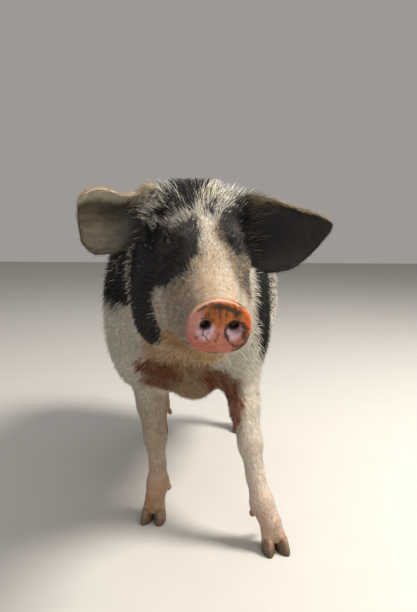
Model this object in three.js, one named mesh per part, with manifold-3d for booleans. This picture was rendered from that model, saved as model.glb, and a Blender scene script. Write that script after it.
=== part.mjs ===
// A young spotted farm pig, standing with its head turned a little to its left.
// Millimetres, +Z up. The pig faces -Y and its left side is +X.
// Every surface is the zero level of one field, built from named bones and muscles, so that
// neighbouring parts flow into each other; flat cuts then part it into head, neck, trunk and legs.
import * as THREE from "three";
import { mergeVertices } from "three/addons/utils/BufferGeometryUtils.js";
import Module from "manifold-3d";

const wasm = await Module();
wasm.setup();

// ---------- driving dimensions ----------
const GAP = 0.35; // clear space between neighbouring parts
const TRUNK_CELL = 38; // size of the facets on the trunk and neck
const LEG_CELL = 22; // and on the legs
const HEAD_CELL = 19.8; // and on the head
const CORONET = 26; // height of the claws, where the skin of the foot ends

// Where the body is parted: the heights of the cuts across fore and hind legs, how far from the middle
// they begin, the cut between trunk and neck, and the one between neck and head (in the head's frame).
const LEG_CUT = { fore: 262, hind: 290, inner: 44 };
const NECK_CUT = -106;
const HEAD_CUT = 284;

// Where the head is carried: the middle of the snout disc, and how the head is turned.
const SNOUT = { x: 90, y: -469, z: 458 };
const HEAD_YAW = 15; // degrees, towards the pig's left
const HEAD_PITCH = 10; // degrees, snout down
const HEAD_ROLL = 3; // degrees, left side down

const { abs, cos, hypot, max, min, pow, sign, sin, PI } = Math;
const rad = (degrees) => (degrees * PI) / 180;
const clamp01 = (v) => min(max(v, 0), 1);
const SIDES = { left: 1, right: -1 };

// ---------- field helpers ----------

// A smooth curve through stations [[t, value], ...], with no overshoot between them.
function profile(stations) {
  const t = stations.map((s) => s[0]);
  const v = stations.map((s) => s[1]);
  const slope = t.slice(1).map((_, i) => (v[i + 1] - v[i]) / (t[i + 1] - t[i]));
  const tangent = v.map((_, i) => {
    if (i === 0) return slope[0];
    if (i === v.length - 1) return slope[i - 1];
    const [a, b] = [slope[i - 1], slope[i]];
    return a * b <= 0 ? 0 : (2 * a * b) / (a + b);
  });
  return (at) => {
    if (at <= t[0]) return v[0];
    let i = t.length - 2;
    if (at >= t[i + 1]) return v[i + 1];
    while (at < t[i]) i--;
    const w = t[i + 1] - t[i];
    const s = (at - t[i]) / w;
    const r = 1 - s;
    return (
      v[i] * r * r * (1 + 2 * s) +
      tangent[i] * w * r * r * s +
      v[i + 1] * s * s * (3 - 2 * s) -
      tangent[i + 1] * w * s * s * r
    );
  };
}

// The columns of a table of stations [t, a, b, ...] as one profile each.
const profiles = (rows) => rows[0].slice(1).map((_, i) => profile(rows.map((r) => [r[0], r[i + 1]])));

// Union of two fields with a fillet of about k.
function blend(a, b, k) {
  const h = max(k - abs(a - b), 0);
  return min(a, b) - (h * h) / (4 * k);
}

// Distance to an ellipsoid, close to true near its surface.
function ellipsoid(x, y, z, [cx, cy, cz], [rx, ry, rz]) {
  const [px, py, pz] = [(x - cx) / rx, (y - cy) / ry, (z - cz) / rz];
  const near = hypot(px, py, pz);
  const steep = hypot(px / rx, py / ry, pz / rz);
  return steep === 0 ? -min(rx, ry, rz) : (near * (near - 1)) / steep;
}

// Distance to a round limb segment that tapers from radius a[3] at a to b[3] at b.
function limb(x, y, z, a, b, narrow = 1) {
  const [dx, dy, dz] = [b[0] - a[0], b[1] - a[1], b[2] - a[2]];
  const along = (x - a[0]) * dx + (y - a[1]) * dy + (z - a[2]) * dz;
  const t = clamp01(along / (dx * dx + dy * dy + dz * dz));
  const off = hypot((x - a[0] - t * dx) / narrow, y - a[1] - t * dy, z - a[2] - t * dz);
  return off - (a[3] + t * (b[3] - a[3]));
}

// Distance to an oval section of half width w, up above and down below its widest level.
function oval(x, z, w, up, down, power) {
  const h = z > 0 ? up : down;
  const [ax, az] = [abs(x) / w, abs(z) / h];
  const q = pow(pow(ax, power) + pow(az, power), 1 / power);
  if (q < 1e-6) return -min(w, h);
  const steep = hypot(pow(ax / q, power - 1) / w, pow(az / q, power - 1) / h);
  return (q - 1) / steep;
}

// ---------- trunk and neck ----------

// Sections of trunk and neck: y, height of back, height of belly, half width, widest level, sideways shift.
const BODY = [
  [-262, 548, 456, 30, 502, 34],
  [-240, 580, 424, 64, 500, 30],
  [-180, 611, 372, 97, 478, 17],
  [-105, 618, 306, 122, 446, 6],
  [-30, 619, 256, 140, 424, 0],
  [60, 620, 236, 153, 414, 0],
  [180, 623, 233, 175, 412, -4],
  [310, 625, 233, 186, 412, -8],
  [420, 621, 250, 176, 420, -12],
  [510, 603, 310, 152, 440, -15],
  [580, 566, 374, 116, 460, -17],
  [622, 524, 420, 72, 472, -18],
  [642, 486, 460, 18, 474, -18],
];
const [backZ, bellyZ, bodyHalf, widestZ, bodyShift] = profiles(BODY);
const BODY_END = BODY.at(-1)[0];
const BODY_POWER = 2.15; // 2 is an ellipse; a little more is squarer

function trunk(x, y, z) {
  const at = min(y, BODY_END);
  const level = widestZ(at);
  const w = bodyHalf(at);
  const d = oval(x - bodyShift(at), z - level, w, backZ(at) - level, level - bellyZ(at), BODY_POWER);
  // The rump closes fast, so the field is eased there.
  const steep = (w - bodyHalf(min(at + 6, BODY_END))) / 6;
  return max(d / hypot(1, max(steep, 0)), y - BODY_END, BODY[0][0] - y);
}

// Muscles that stand out of the trunk: centre and radii, for the left side.
const SHOULDER = { at: [100, -20, 420], size: [54, 96, 150] };
const ELBOW = { at: [98, 44, 322], size: [30, 34, 44] };
const FLANK = { at: [104, 392, 330], size: [58, 78, 90] };
const HAM = { at: [84, 505, 415], size: [72, 106, 150] };
// The brisket, which hangs between the forelegs.
const BRISKET = { at: [16, -62, 298], size: [46, 62, 42] };

// ---------- legs ----------

// Joints from the body down, [x, y, z, radius], and last where the foot stands, [x, y].
const LEGS = {
  foreleg_left: [
    [90, -30, 370, 62],
    [98, 4, 300, 45],
    [110, -42, 232, 32],
    [122, -76, 176, 25.5],
    [132, -90, 122, 20],
    [144, -101, 76, 24],
    [160, -116, 44, 22],
    [166, -122],
  ],
  foreleg_right: [
    [-92, -10, 370, 62],
    [-88, 22, 300, 45],
    [-75, 2, 228, 32],
    [-63, -18, 166, 25.5],
    [-60, -14, 112, 19.5],
    [-61, -4, 68, 25],
    [-65, -15, 43, 22.5],
    [-66, -22],
  ],
  hindleg_left: [
    [76, 490, 400, 88],
    [92, 430, 318, 60],
    [90, 520, 268, 42],
    [87, 583, 218, 26],
    [85, 574, 140, 20],
    [84, 566, 76, 23],
    [87, 551, 44, 20],
    [88, 544],
  ],
  hindleg_right: [
    [-108, 484, 400, 88],
    [-124, 404, 318, 60],
    [-122, 490, 268, 42],
    [-126, 543, 218, 26],
    [-129, 532, 140, 20],
    [-131, 520, 76, 23],
    [-134, 504, 44, 20],
    [-135, 497],
  ],
};
const LEG_NARROW = 0.88; // legs are a little narrower from the front than from the side
// How far the toes are turned to the left, in degrees.
const FOOT_TURN = { foreleg_left: 16, foreleg_right: -3, hindleg_left: 5, hindleg_right: -7 };
// The flesh of the two toes above the claws.
const TOE = { apart: 26, ahead: 4, low: 12, radius: 13.5 };

// The frame of a foot: on the floor, with its toes turned out.
function footFrame(name, [x, y] = LEGS[name].at(-1)) {
  return new THREE.Matrix4().makeRotationZ(rad(FOOT_TURN[name])).setPosition(x, y, 0);
}

// Where the middle of a leg is at a height between its last two joints.
function pastern(name, high) {
  const [upper, lower] = LEGS[name].slice(-3, -1);
  const t = (upper[2] - high) / (upper[2] - lower[2]);
  return [0, 1].map((k) => upper[k] + t * (lower[k] - upper[k]));
}

// A leg as a chain of tapered segments, the last two side by side, one for each toe.
const CHAINS = Object.entries(LEGS).map(([name, joints]) => {
  const bones = joints.slice(0, -1);
  const links = bones.slice(1).map((b, i) => [bones[i], b, 9]);
  for (const s of [1, -1]) {
    const toe = new THREE.Vector3((TOE.apart / 2) * s, -TOE.ahead, TOE.low).applyMatrix4(footFrame(name));
    links.push([bones.at(-1), [...toe, TOE.radius], 4]);
  }
  return { y: bones[0][1], links };
});

function leg(x, y, z, links) {
  let d = Infinity;
  for (const [a, b, soft] of links) d = blend(d, limb(x, y, z, a, b, LEG_NARROW), soft);
  return d;
}

// ---------- head, in its own frame: origin at the snout disc, +y back to the nape, +z up ----------

const headTurn = new THREE.Matrix4()
  .makeTranslation(SNOUT.x, SNOUT.y, SNOUT.z)
  .multiply(
    new THREE.Matrix4().makeRotationFromEuler(
      new THREE.Euler(rad(HEAD_PITCH), rad(HEAD_ROLL), rad(HEAD_YAW), "ZXY"),
    ),
  );
const headBack = headTurn.clone().invert();

// Sections of the head: distance from the disc, top, bottom, half width, widest level.
const HEAD = [
  [8, 31, -33, 35, -2],
  [26, 30, -48, 32, -4],
  [50, 37, -64, 36, -7],
  [85, 51, -76, 44, -4],
  [115, 69, -83, 54, 3],
  [145, 92, -90, 64, 8],
  [175, 114, -94, 73, 8],
  [210, 135, -102, 78, 8],
  [250, 145, -105, 80, 8],
  [300, 131, -98, 79, 8],
  [345, 92, -70, 60, 6],
  [366, 46, -34, 26, 4],
];
const [crown, chin, headHalf, cheekLevel] = profiles(HEAD);
const HEAD_START = HEAD[0][0];
const HEAD_END = HEAD.at(-1)[0];

// Forms that stand out of the head's sections, for the left side.
const JOWL = { at: [44, 206, -36], size: [46, 80, 64] };
const CHEEKBONE = { at: [56, 186, 34], size: [20, 44, 18] };
const BROW = { at: [34, 156, 84], size: [16, 30, 12] };
const EAR_ROOT = { at: [57, 246, 88], size: [27, 28, 32] };

// The snout disc: rings of [distance back, scale], each a half width, an upper and a lower height.
const DISC = {
  half: 40,
  up: 32,
  down: 36,
  rings: [[0, 0.9], [2, 0.98], [7, 1], [HEAD_START + 5 - GAP, 0.95]],
};
const DISC_DISH = 1.2; // how far the middle of the disc lies behind its edge
// The nostrils; out is how far each one runs outwards, in degrees.
const NOSTRIL = { at: [16, -1], half: 7, up: 7.4, deep: 16, out: 14 };

const EYE = { at: [41.9, 151, 67.5], radius: 11.5 };

// The mouth line: where the lower jaw's front is, where the corner is, and how far down the jaw reaches.
const MOUTH = { front: [30, -36], corner: [106, -44], deep: 90 };

// Ears: where they leave the head, how far the length leans forward of sideways, and the thickness
// at the root and at the edge. The top edge leans forward, and the sheet is cupped forward.
const EAR = { root: [60, 243, 88], reach: -28, sweep: 25, lean: 12, thick: [13, 5], cup: 105 };
// Each ear's length, and its edges above and below the line of its length; the top edge is rolled forward.
const EARS = {
  left: {
    length: 150,
    lift: 3,
    top: [[-28, 20], [0, 33], [36, 42], [82, 31], [128, 19], [150, 8]],
    bottom: [[-28, -20], [0, -45], [36, -70], [66, -82], [92, -75], [122, -45], [138, -21], [150, -3]],
    roll: 40,
    rolled: 12,
  },
  right: {
    length: 122,
    lift: 0,
    top: [[-28, 22], [0, 48], [14, 60], [40, 50], [58, 47], [92, 56], [112, 50], [122, 36]],
    bottom: [[-28, -18], [0, -30], [41, -42], [79, -55], [102, -56], [116, -44], [122, -26]],
    roll: 135,
    rolled: 22,
  },
};

const mirrored = ([x, y, z], side) => [x * side, y, z];

function skull(x, y, z) {
  const at = min(max(y, HEAD_START), HEAD_END);
  const level = cheekLevel(at);
  const d = oval(x, z - level, headHalf(at), crown(at) - level, level - chin(at), 2.25);
  return max(d, HEAD_START - y, y - HEAD_END);
}

function headField(x, y, z) {
  const side = x < 0 ? -1 : 1;
  const form = ({ at, size }) => ellipsoid(x, y, z, mirrored(at, side), size);
  let d = skull(x, y, z);
  d = blend(d, form(JOWL), 24);
  d = blend(d, form(CHEEKBONE), 16);
  d = blend(d, form(BROW), 12);
  return blend(d, form(EAR_ROOT), 20);
}

const point = new THREE.Vector3();
function head(x, y, z) {
  point.set(x, y, z).applyMatrix4(headBack);
  return headField(point.x, point.y, point.z);
}

// ---------- the whole body as one field ----------
function flesh(x, y, z) {
  const side = x < 0 ? -1 : 1;
  let d = trunk(x, y, z);
  const middle = bodyShift(min(y, BODY_END));
  for (const { at, size } of [SHOULDER, ELBOW, FLANK, HAM]) {
    d = blend(d, ellipsoid(x - middle, y, z, mirrored(at, side), size), 34);
  }
  d = blend(d, ellipsoid(x, y, z, BRISKET.at, BRISKET.size), 18);
  for (const chain of CHAINS) {
    if (abs(y - chain.y) < 320) d = blend(d, leg(x, y, z, chain.links), 26);
  }
  return blend(d, head(x, y, z), 44);
}

// ---------- from a field to a closed mesh ----------

// Surface nets: one vertex in each cell that the surface crosses, and one square across each crossed edge.
// The outermost points of the grid count as outside, so the skin is closed where the grid ends.
function surface(field, low, high, cell) {
  const count = low.map((v, i) => Math.ceil((high[i] - v) / cell) + 1);
  const at = (i, j, k) => (k * count[1] + j) * count[0] + i;
  const values = new Float32Array(count[0] * count[1] * count[2]);
  const place = (i, axis) => low[axis] + i * cell;
  const last = count.map((n) => n - 1);
  for (let k = 0; k < count[2]; k++) {
    for (let j = 0; j < count[1]; j++) {
      for (let i = 0; i < count[0]; i++) {
        const edge = [i, j, k].some((n, axis) => n < 2 || n === last[axis]);
        values[at(i, j, k)] = edge ? cell : field(place(i, 0), place(j, 1), place(k, 2));
      }
    }
  }
  const step = [at(1, 0, 0), at(0, 1, 0), at(0, 0, 1)];
  const corners = [...Array(8).keys()].map((c) => [c & 1, (c >> 1) & 1, (c >> 2) & 1]);
  const edges = corners.flatMap((c, n) => [1, 2, 4].filter((b) => !(n & b)).map((b) => [n, n | b]));
  const vertexOf = new Map();
  const positions = [];
  for (let k = 0; k + 1 < count[2]; k++) {
    for (let j = 0; j + 1 < count[1]; j++) {
      for (let i = 0; i + 1 < count[0]; i++) {
        const v = corners.map(([a, b, c]) => values[at(i + a, j + b, k + c)]);
        const sum = [0, 0, 0];
        let crossings = 0;
        for (const [a, b] of edges) {
          if (v[a] < 0 === v[b] < 0) continue;
          const t = v[a] / (v[a] - v[b]);
          sum.forEach((_, n) => (sum[n] += corners[a][n] + t * (corners[b][n] - corners[a][n])));
          crossings++;
        }
        if (!crossings) continue;
        vertexOf.set(at(i, j, k), positions.length / 3);
        const p = [i, j, k].map((n, axis) => low[axis] + (n + sum[axis] / crossings) * cell);
        positions.push(...settled(field, p, [i, j, k].map(place), cell));
      }
    }
  }
  const index = [];
  const axes = [[0, 1, 2], [1, 2, 0], [2, 0, 1]];
  for (let k = 1; k + 1 < count[2]; k++) {
    for (let j = 1; j + 1 < count[1]; j++) {
      for (let i = 1; i + 1 < count[0]; i++) {
        const here = at(i, j, k);
        for (const [n, a, b] of axes) {
          const inside = values[here] < 0;
          if (inside === values[here + step[n]] < 0) continue;
          const cells = [here - step[a] - step[b], here - step[b], here, here - step[a]];
          const ring = cells.map((cell) => vertexOf.get(cell));
          const [p, q, r, s] = inside ? ring : ring.reverse();
          index.push(p, q, r, p, r, s);
        }
      }
    }
  }
  const geometry = new THREE.BufferGeometry();
  geometry.setAttribute("position", new THREE.Float32BufferAttribute(positions, 3));
  geometry.setIndex(index);
  return geometry;
}

// A vertex moved along the field's slope until it lies on the surface, but kept inside its own cell.
function settled(field, start, corner, cell) {
  const p = [...start];
  for (let round = 0; round < 3; round++) {
    const here = field(...p);
    const slope = [0, 1, 2].map((n) => {
      const q = [...p];
      q[n] += 0.5;
      return (field(...q) - here) / 0.5;
    });
    const steep = max(slope[0] ** 2 + slope[1] ** 2 + slope[2] ** 2, 0.3);
    for (let n = 0; n < 3; n++) {
      const moved = p[n] - (here * slope[n]) / steep;
      p[n] = min(max(moved, corner[n] + 0.08 * cell), corner[n] + 0.92 * cell);
    }
  }
  return p;
}

// ---------- closed shapes made of rings ----------

// Rings of points, one inside or above the other, joined into a closed skin with a fan at each end.
function ringed(rings, first, last) {
  const n = rings[0].length;
  const points = [...rings.flat(), first, last];
  const index = [];
  const foot = rings.length * n;
  for (let j = 0; j < n; j++) {
    const k = (j + 1) % n;
    for (let i = 0; i + 1 < rings.length; i++) {
      const [a, b, c, d] = [i * n + j, i * n + k, (i + 1) * n + k, (i + 1) * n + j];
      index.push(a, b, c, a, c, d);
    }
    index.push(foot, k, j, foot + 1, (rings.length - 1) * n + j, (rings.length - 1) * n + k);
  }
  const geometry = new THREE.BufferGeometry();
  geometry.setAttribute("position", new THREE.Float32BufferAttribute(points.flat(), 3));
  geometry.setIndex(index);
  return geometry;
}

const turns = (n) => [...Array(n).keys()].map((i) => (2 * PI * i) / n);
const rounded = (v, power) => sign(v) * pow(abs(v), 2 / power);

// The snout disc: broad, domed above and flatter below, with the two nostrils as blind pits.
function snoutDisc() {
  const { half, up, down, rings } = DISC;
  const outline = ([back, scale]) =>
    turns(24).map((t) => {
      const [c, s] = [cos(t), sin(t)];
      const power = s > 0 ? 2.1 : 2.7;
      return [-half * scale * rounded(c, power), back, (s > 0 ? up : down) * scale * rounded(s, power) - 1];
    });
  const back = rings.at(-1)[0];
  let made = solid(ringed(rings.map(outline), [0, DISC_DISH, -1], [0, back, -1]));
  for (const side of [1, -1]) {
    const [x, z] = NOSTRIL.at;
    const bore = new THREE.CylinderGeometry(1, 0.72, 2 * NOSTRIL.deep, 12)
      .scale(NOSTRIL.half, 1, NOSTRIL.up)
      .rotateZ(PI)
      .rotateZ(rad(-NOSTRIL.out * side))
      .translate(side * x, -2, z);
    const limit = new THREE.BoxGeometry(80, 40, 80).translate(0, back - 2.5 - 20, 0);
    made = made.subtract(solid(bore).intersect(solid(limit)));
  }
  return made;
}

// An ear: the middle of the sheet as rows of points along it, then a front and a back skin joined at the rim.
function ear(side) {
  const shape = EARS[side];
  const s = SIDES[side];
  const [top, bottom] = [profile(shape.top), profile(shape.bottom)];
  const carriage = new THREE.Euler(rad(-EAR.lean), rad(-shape.lift * s), rad(-EAR.sweep * s), "YZX");
  const turn = new THREE.Matrix4().makeRotationFromEuler(carriage);
  turn.setPosition(EAR.root[0] * s, EAR.root[1], EAR.root[2]);
  const [rows, across] = [8, 10];
  const middle = [];
  for (let i = 0; i < rows; i++) {
    const u = EAR.reach + ((shape.length - EAR.reach) * i) / (rows - 1);
    middle.push(section(u, top(u), bottom(u), across, shape, s));
  }
  const surfaceOf = (facing) =>
    middle.map((row, i) =>
      row.map((p, j) => {
        const along = p.clone().sub(middle[max(i - 1, 0)][j]).add(middle[min(i + 1, rows - 1)][j]).sub(p);
        const over = row[min(j + 1, across - 1)].clone().sub(row[max(j - 1, 0)]);
        const normal = along.cross(over).normalize().multiplyScalar(s);
        const root = clamp01((i / (rows - 1)) * 3);
        const thick = EAR.thick[0] + (EAR.thick[1] - EAR.thick[0]) * root;
        return p.clone().addScaledVector(normal, (-facing * thick) / 2).applyMatrix4(turn).toArray();
      }),
    );
  return solid(sheet(surfaceOf(1), surfaceOf(-1), s));
}

// One section across an ear at u: an arc cupped forward, the rim at its top rolled further.
function section(u, high, low, count, { roll, rolled, length }, s) {
  const fine = 48;
  const spread = clamp01((u - EAR.reach) / 60) * (1 - 0.35 * clamp01(u / length));
  const path = (end) => {
    const step = end / fine;
    const points = [[0, 0]];
    let [z, y, bend] = [0, 0, 0];
    for (let i = 0; i < fine; i++) {
      const at = abs(step) * (i + 0.5);
      const curl = end > 0 && at > end - rolled ? (rad(roll) * spread) / rolled : 0;
      bend += abs(step) * (1 / EAR.cup + curl);
      z += step * cos(bend);
      y -= abs(step) * sin(bend);
      points.push([z, y]);
    }
    return points;
  };
  const [upper, lower] = [path(high), path(low)];
  return [...Array(count).keys()].map((j) => {
    const t = (j / (count - 1)) * 2 - 1;
    const from = t < 0 ? lower : upper;
    const at = abs(t) * fine;
    const i = min(Math.floor(at), fine - 1);
    const [a, b] = [from[i], from[i + 1]];
    return new THREE.Vector3(u * s, a[1] + (b[1] - a[1]) * (at - i), a[0] + (b[0] - a[0]) * (at - i));
  });
}

// Two grids of points, front and back, closed round the rim.
function sheet(front, back, s) {
  const [rows, cols] = [front.length, front[0].length];
  const index = [];
  const at = (i, j, face) => face * rows * cols + i * cols + j;
  const face = (a, b, c, d) => (s < 0 ? index.push(a, b, c, a, c, d) : index.push(a, c, b, a, d, c));
  for (let i = 0; i + 1 < rows; i++) {
    for (let j = 0; j + 1 < cols; j++) {
      face(at(i, j, 0), at(i + 1, j, 0), at(i + 1, j + 1, 0), at(i, j + 1, 0));
      face(at(i, j, 1), at(i, j + 1, 1), at(i + 1, j + 1, 1), at(i + 1, j, 1));
    }
    face(at(i, 0, 0), at(i, 0, 1), at(i + 1, 0, 1), at(i + 1, 0, 0));
    face(at(i, cols - 1, 0), at(i + 1, cols - 1, 0), at(i + 1, cols - 1, 1), at(i, cols - 1, 1));
  }
  for (let j = 0; j + 1 < cols; j++) {
    face(at(0, j, 0), at(0, j + 1, 0), at(0, j + 1, 1), at(0, j, 1));
    face(at(rows - 1, j, 0), at(rows - 1, j, 1), at(rows - 1, j + 1, 1), at(rows - 1, j + 1, 0));
  }
  const geometry = new THREE.BufferGeometry();
  geometry.setAttribute("position", new THREE.Float32BufferAttribute([...front.flat(2), ...back.flat(2)], 3));
  geometry.setIndex(index);
  return geometry;
}

// The tail: back from the rump, then up and over in one loose curl that drifts to the left.
const TAIL = { at: [-18, 580, 538], straight: 84, curl: 23, turn: 430, drift: 24, thick: 9.5, tip: 3.2 };

function tail() {
  const { at, straight, curl, turn, drift, thick, tip } = TAIL;
  const run = rad(turn) * curl;
  const whole = straight + run;
  const path = (d) => {
    if (d < straight) return new THREE.Vector3(at[0], at[1] + d, at[2]);
    const t = (d - straight) / curl;
    const over = t / rad(turn);
    const out = curl * (1 - 0.2 * over);
    const side = at[0] + drift * over * clamp01(over * 3);
    return new THREE.Vector3(side, at[1] + straight + out * sin(t), at[2] + curl - out * cos(t));
  };
  const rings = [...Array(22).keys()].map((i) => {
    const d = (whole * i) / 21;
    const here = path(d);
    const ahead = path(d + 1).sub(here).normalize();
    const sideways = new THREE.Vector3(1, 0, 0).addScaledVector(ahead, -ahead.x).normalize();
    const upright = ahead.clone().cross(sideways);
    const r = thick + (tip - thick) * pow(d / whole, 0.8);
    return turns(7).map((a) =>
      here.clone().addScaledVector(sideways, r * cos(a)).addScaledVector(upright, r * sin(a)).toArray(),
    );
  });
  return solid(ringed(rings, path(0).toArray(), path(whole + tip).toArray()));
}

// ---------- claws ----------
// Rings of [height, scale, shift back]; the plan is longer than wide, broadest towards the heel.
const CLAW = { length: 48, width: 23, apart: 26.5, ahead: 11, splay: 7 };
const CLAW_RINGS = [[0, 0.95, 0], [3, 1, 0.5], [13, 0.96, 4], [CORONET - GAP, 0.82, 9]];
const DEWCLAW = { length: 15, width: 13, high: 24, at: [14, 17, 62], tilt: 38, out: 12 };
const DEWCLAW_RINGS = [[0, 0.5, 0], [5, 0.9, 0], [24, 0.95, 0]];

function hornRings(rings, width, length, sides) {
  const outline = ([high, scale, back]) =>
    turns(sides).map((t) => {
      const taper = 1 + 0.2 * sin(t);
      return [(width / 2) * scale * taper * cos(t), (length / 2) * scale * sin(t) + back, high];
    });
  const [low, high] = [rings[0], rings.at(-1)];
  return ringed(rings.map(outline), [0, low[2], low[0]], [0, high[2], high[0]]);
}

const claw = (name, s) =>
  hornRings(CLAW_RINGS, CLAW.width, CLAW.length, 12)
    .rotateZ(rad(CLAW.splay * s))
    .translate((CLAW.apart / 2) * s, -CLAW.ahead, 0)
    .applyMatrix4(footFrame(name));

const dewclaw = (name, s) =>
  hornRings(DEWCLAW_RINGS, DEWCLAW.width, DEWCLAW.length, 8)
    .translate(0, 0, -DEWCLAW.high)
    .rotateX(rad(DEWCLAW.tilt))
    .rotateY(rad(-DEWCLAW.out * s))
    .translate(DEWCLAW.at[0] * s, DEWCLAW.at[1], DEWCLAW.at[2])
    .applyMatrix4(footFrame(name, pastern(name, DEWCLAW.at[2])));

// ---------- solids ----------
function solid(geometry) {
  const bare = new THREE.BufferGeometry();
  bare.setAttribute("position", geometry.getAttribute("position"));
  bare.setIndex(geometry.getIndex());
  const merged = mergeVertices(bare, 1e-4);
  return new wasm.Manifold(
    new wasm.Mesh({
      numProp: 3,
      vertProperties: new Float32Array(merged.attributes.position.array),
      triVerts: new Uint32Array(merged.index.array),
    }),
  );
}

const largest = (made) => made.decompose().reduce((a, b) => (b.volume() > a.volume() ? b : a));

// The same closed skin moved outwards along its own normals.
function grown(geometry, by) {
  const out = mergeVertices(geometry.clone().deleteAttribute("normal"), 1e-4);
  out.computeVertexNormals();
  const [p, n] = [out.attributes.position, out.attributes.normal];
  for (let i = 0; i < p.count; i++) {
    p.setXYZ(i, p.getX(i) + by * n.getX(i), p.getY(i) + by * n.getY(i), p.getZ(i) + by * n.getZ(i));
  }
  return out;
}

// A block between two corners, larger by some amount on every side.
function block(low, high, more = 0) {
  const size = high.map((v, i) => v - low[i] + 2 * more);
  const middle = high.map((v, i) => (v + low[i]) / 2);
  return new THREE.BoxGeometry(...size).translate(...middle);
}

const FAR = 700; // further than any part of the pig
const inHead = (geometry) => solid(geometry.applyMatrix4(headTurn));

// Everything behind a cut across the head's frame.
const behindHeadCut = (at) => inHead(block([-FAR, at, -FAR], [FAR, at + 2 * FAR, FAR]));

// ---------- the parts ----------
const parts = {};

const skinFine = surface(flesh, [-120, -520, 330], [230, -60, 690], HEAD_CELL);
const skinCoarse = surface(flesh, [-260, -420, 150], [260, 700, 700], TRUNK_CELL);

// head: ahead of the nape cut, behind the disc, with the eyes' sockets and the lower jaw taken out
const eyeball = (s, more) =>
  new THREE.SphereGeometry(EYE.radius + more, 14, 10).translate(...mirrored(EYE.at, s));
let headSolid = solid(skinFine).subtract(behindHeadCut(HEAD_CUT));
headSolid = headSolid.intersect(behindHeadCut(HEAD_START + 5));
for (const [side, s] of Object.entries(SIDES)) {
  parts[`eye_${side}`] = inHead(eyeball(s, 0));
  headSolid = headSolid.subtract(inHead(eyeball(s, GAP)));
}
const [mouthY, mouthZ] = MOUTH.corner;
const mouthTilt = Math.atan2(MOUTH.front[1] - mouthZ, mouthY - MOUTH.front[0]);
const jawBlock = (more) => {
  const geometry = block([-FAR, -FAR, -MOUTH.deep], [FAR, 0, 0], more);
  return inHead(geometry.rotateX(-mouthTilt).translate(0, mouthY, mouthZ));
};
parts.lower_jaw = largest(headSolid.intersect(jawBlock(0)));
parts.head = largest(headSolid.subtract(jawBlock(GAP)));
parts.snout_disc = snoutDisc().transform(headTurn.elements);

const earLimit = grown(skinFine, 1.3 * GAP);
for (const side of Object.keys(SIDES)) {
  const placed = ear(side).transform(headTurn.elements);
  const free = placed.subtract(solid(earLimit)).subtract(behindHeadCut(HEAD_CUT - 2 * GAP));
  parts[`ear_${side}`] = largest(free);
}

// neck and trunk
const afterNeck = solid(block([-FAR, NECK_CUT, -FAR], [FAR, 2 * FAR, 2 * FAR]));
const beforeNeck = solid(block([-FAR, -2 * FAR, -FAR], [FAR, NECK_CUT - GAP, 2 * FAR]));
let body = solid(skinCoarse).intersect(afterNeck);
parts.neck = largest(solid(skinCoarse).intersect(beforeNeck).intersect(behindHeadCut(HEAD_CUT + GAP)));

// legs, each below its cut and outside the middle of the body; claws and dewclaws below and behind
for (const [name, joints] of Object.entries(LEGS)) {
  const s = name.endsWith("left") ? 1 : -1;
  const fore = name.startsWith("fore");
  const high = fore ? LEG_CUT.fore : LEG_CUT.hind;
  const ys = joints.map((joint) => joint[1]);
  const [near, far] = [min(...ys) - 80, max(...ys) + 80];
  const [inner, outer] = [LEG_CUT.inner * s, 290 * s];
  const low = [min(inner, outer), near, CORONET];
  const top = [max(inner, outer), far, high];
  const skin = surface(flesh, [low[0] - 40, near - 40, -50], [top[0] + 40, far + 40, high + 40], LEG_CELL);
  let made = solid(skin).intersect(solid(block(low, top)));
  for (const [where, t] of Object.entries({ outer: s, inner: -s })) {
    parts[`claw_${name}_${where}`] = solid(claw(name, t));
    const spur = dewclaw(name, t);
    made = made.subtract(solid(grown(spur, 1.3 * GAP)));
    parts[`dewclaw_${name}_${where}`] = solid(spur);
  }
  parts[name] = largest(made);
  body = body.subtract(solid(block([low[0], near, -FAR], [top[0], far, high], GAP)));
}
parts.trunk = largest(body);
parts.tail = largest(tail().subtract(solid(grown(skinCoarse, 1.3 * GAP))));

// ---------- the object: every part named and coloured, the middle of its base at the origin ----------
const COLOURS = {
  trunk: [0xd9cfbf, 0.85],
  neck: [0xcfc5b6, 0.85],
  head: [0xa39a8f, 0.8],
  lower_jaw: [0xc7b389, 0.8],
  snout_disc: [0xcf9384, 0.45],
  ear: [0x33302f, 0.8],
  eye: [0x17110d, 0.08],
  foreleg: [0xdacbbb, 0.8],
  hindleg: [0xdacbbb, 0.8],
  tail: [0xd3bfb2, 0.8],
  claw: [0xb09a83, 0.55],
  dewclaw: [0x9a8068, 0.6],
};

const group = new THREE.Group();
for (const [name, part] of Object.entries(parts)) {
  const { vertProperties, triVerts, numProp } = part.getMesh();
  const geometry = new THREE.BufferGeometry();
  const points = [];
  for (let i = 0; i < vertProperties.length; i += numProp) points.push(...vertProperties.slice(i, i + 3));
  geometry.setAttribute("position", new THREE.Float32BufferAttribute(points, 3));
  geometry.setIndex([...triVerts]);
  const key = Object.keys(COLOURS).find((k) => name === k || name.startsWith(`${k}_`));
  const [color, roughness] = COLOURS[key];
  const mesh = new THREE.Mesh(geometry, new THREE.MeshStandardMaterial({ color, roughness, metalness: 0 }));
  mesh.name = name;
  group.add(mesh);
}
const bounds = new THREE.Box3().setFromObject(group);
const base = bounds.getCenter(new THREE.Vector3()).setZ(bounds.min.z);
for (const mesh of group.children) {
  mesh.geometry.translate(-base.x, -base.y, -base.z);
  mesh.geometry.computeVertexNormals();
}

export default group;
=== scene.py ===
"""A young spotted farm pig, life size: one skin over the solids, and its eyes, claws and coat.

Shapes are worked out in millimetres in the body's frame (+Z up, the pig faces -Y, its left is +X)
and moved into the row frame, in metres, when they become meshes. The skin is the zero level of the
same field of bones and muscles as the solids, less the depth of the coat, with the folds, lids,
nostrils and mouth that the solids leave out.
"""

import math

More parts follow.
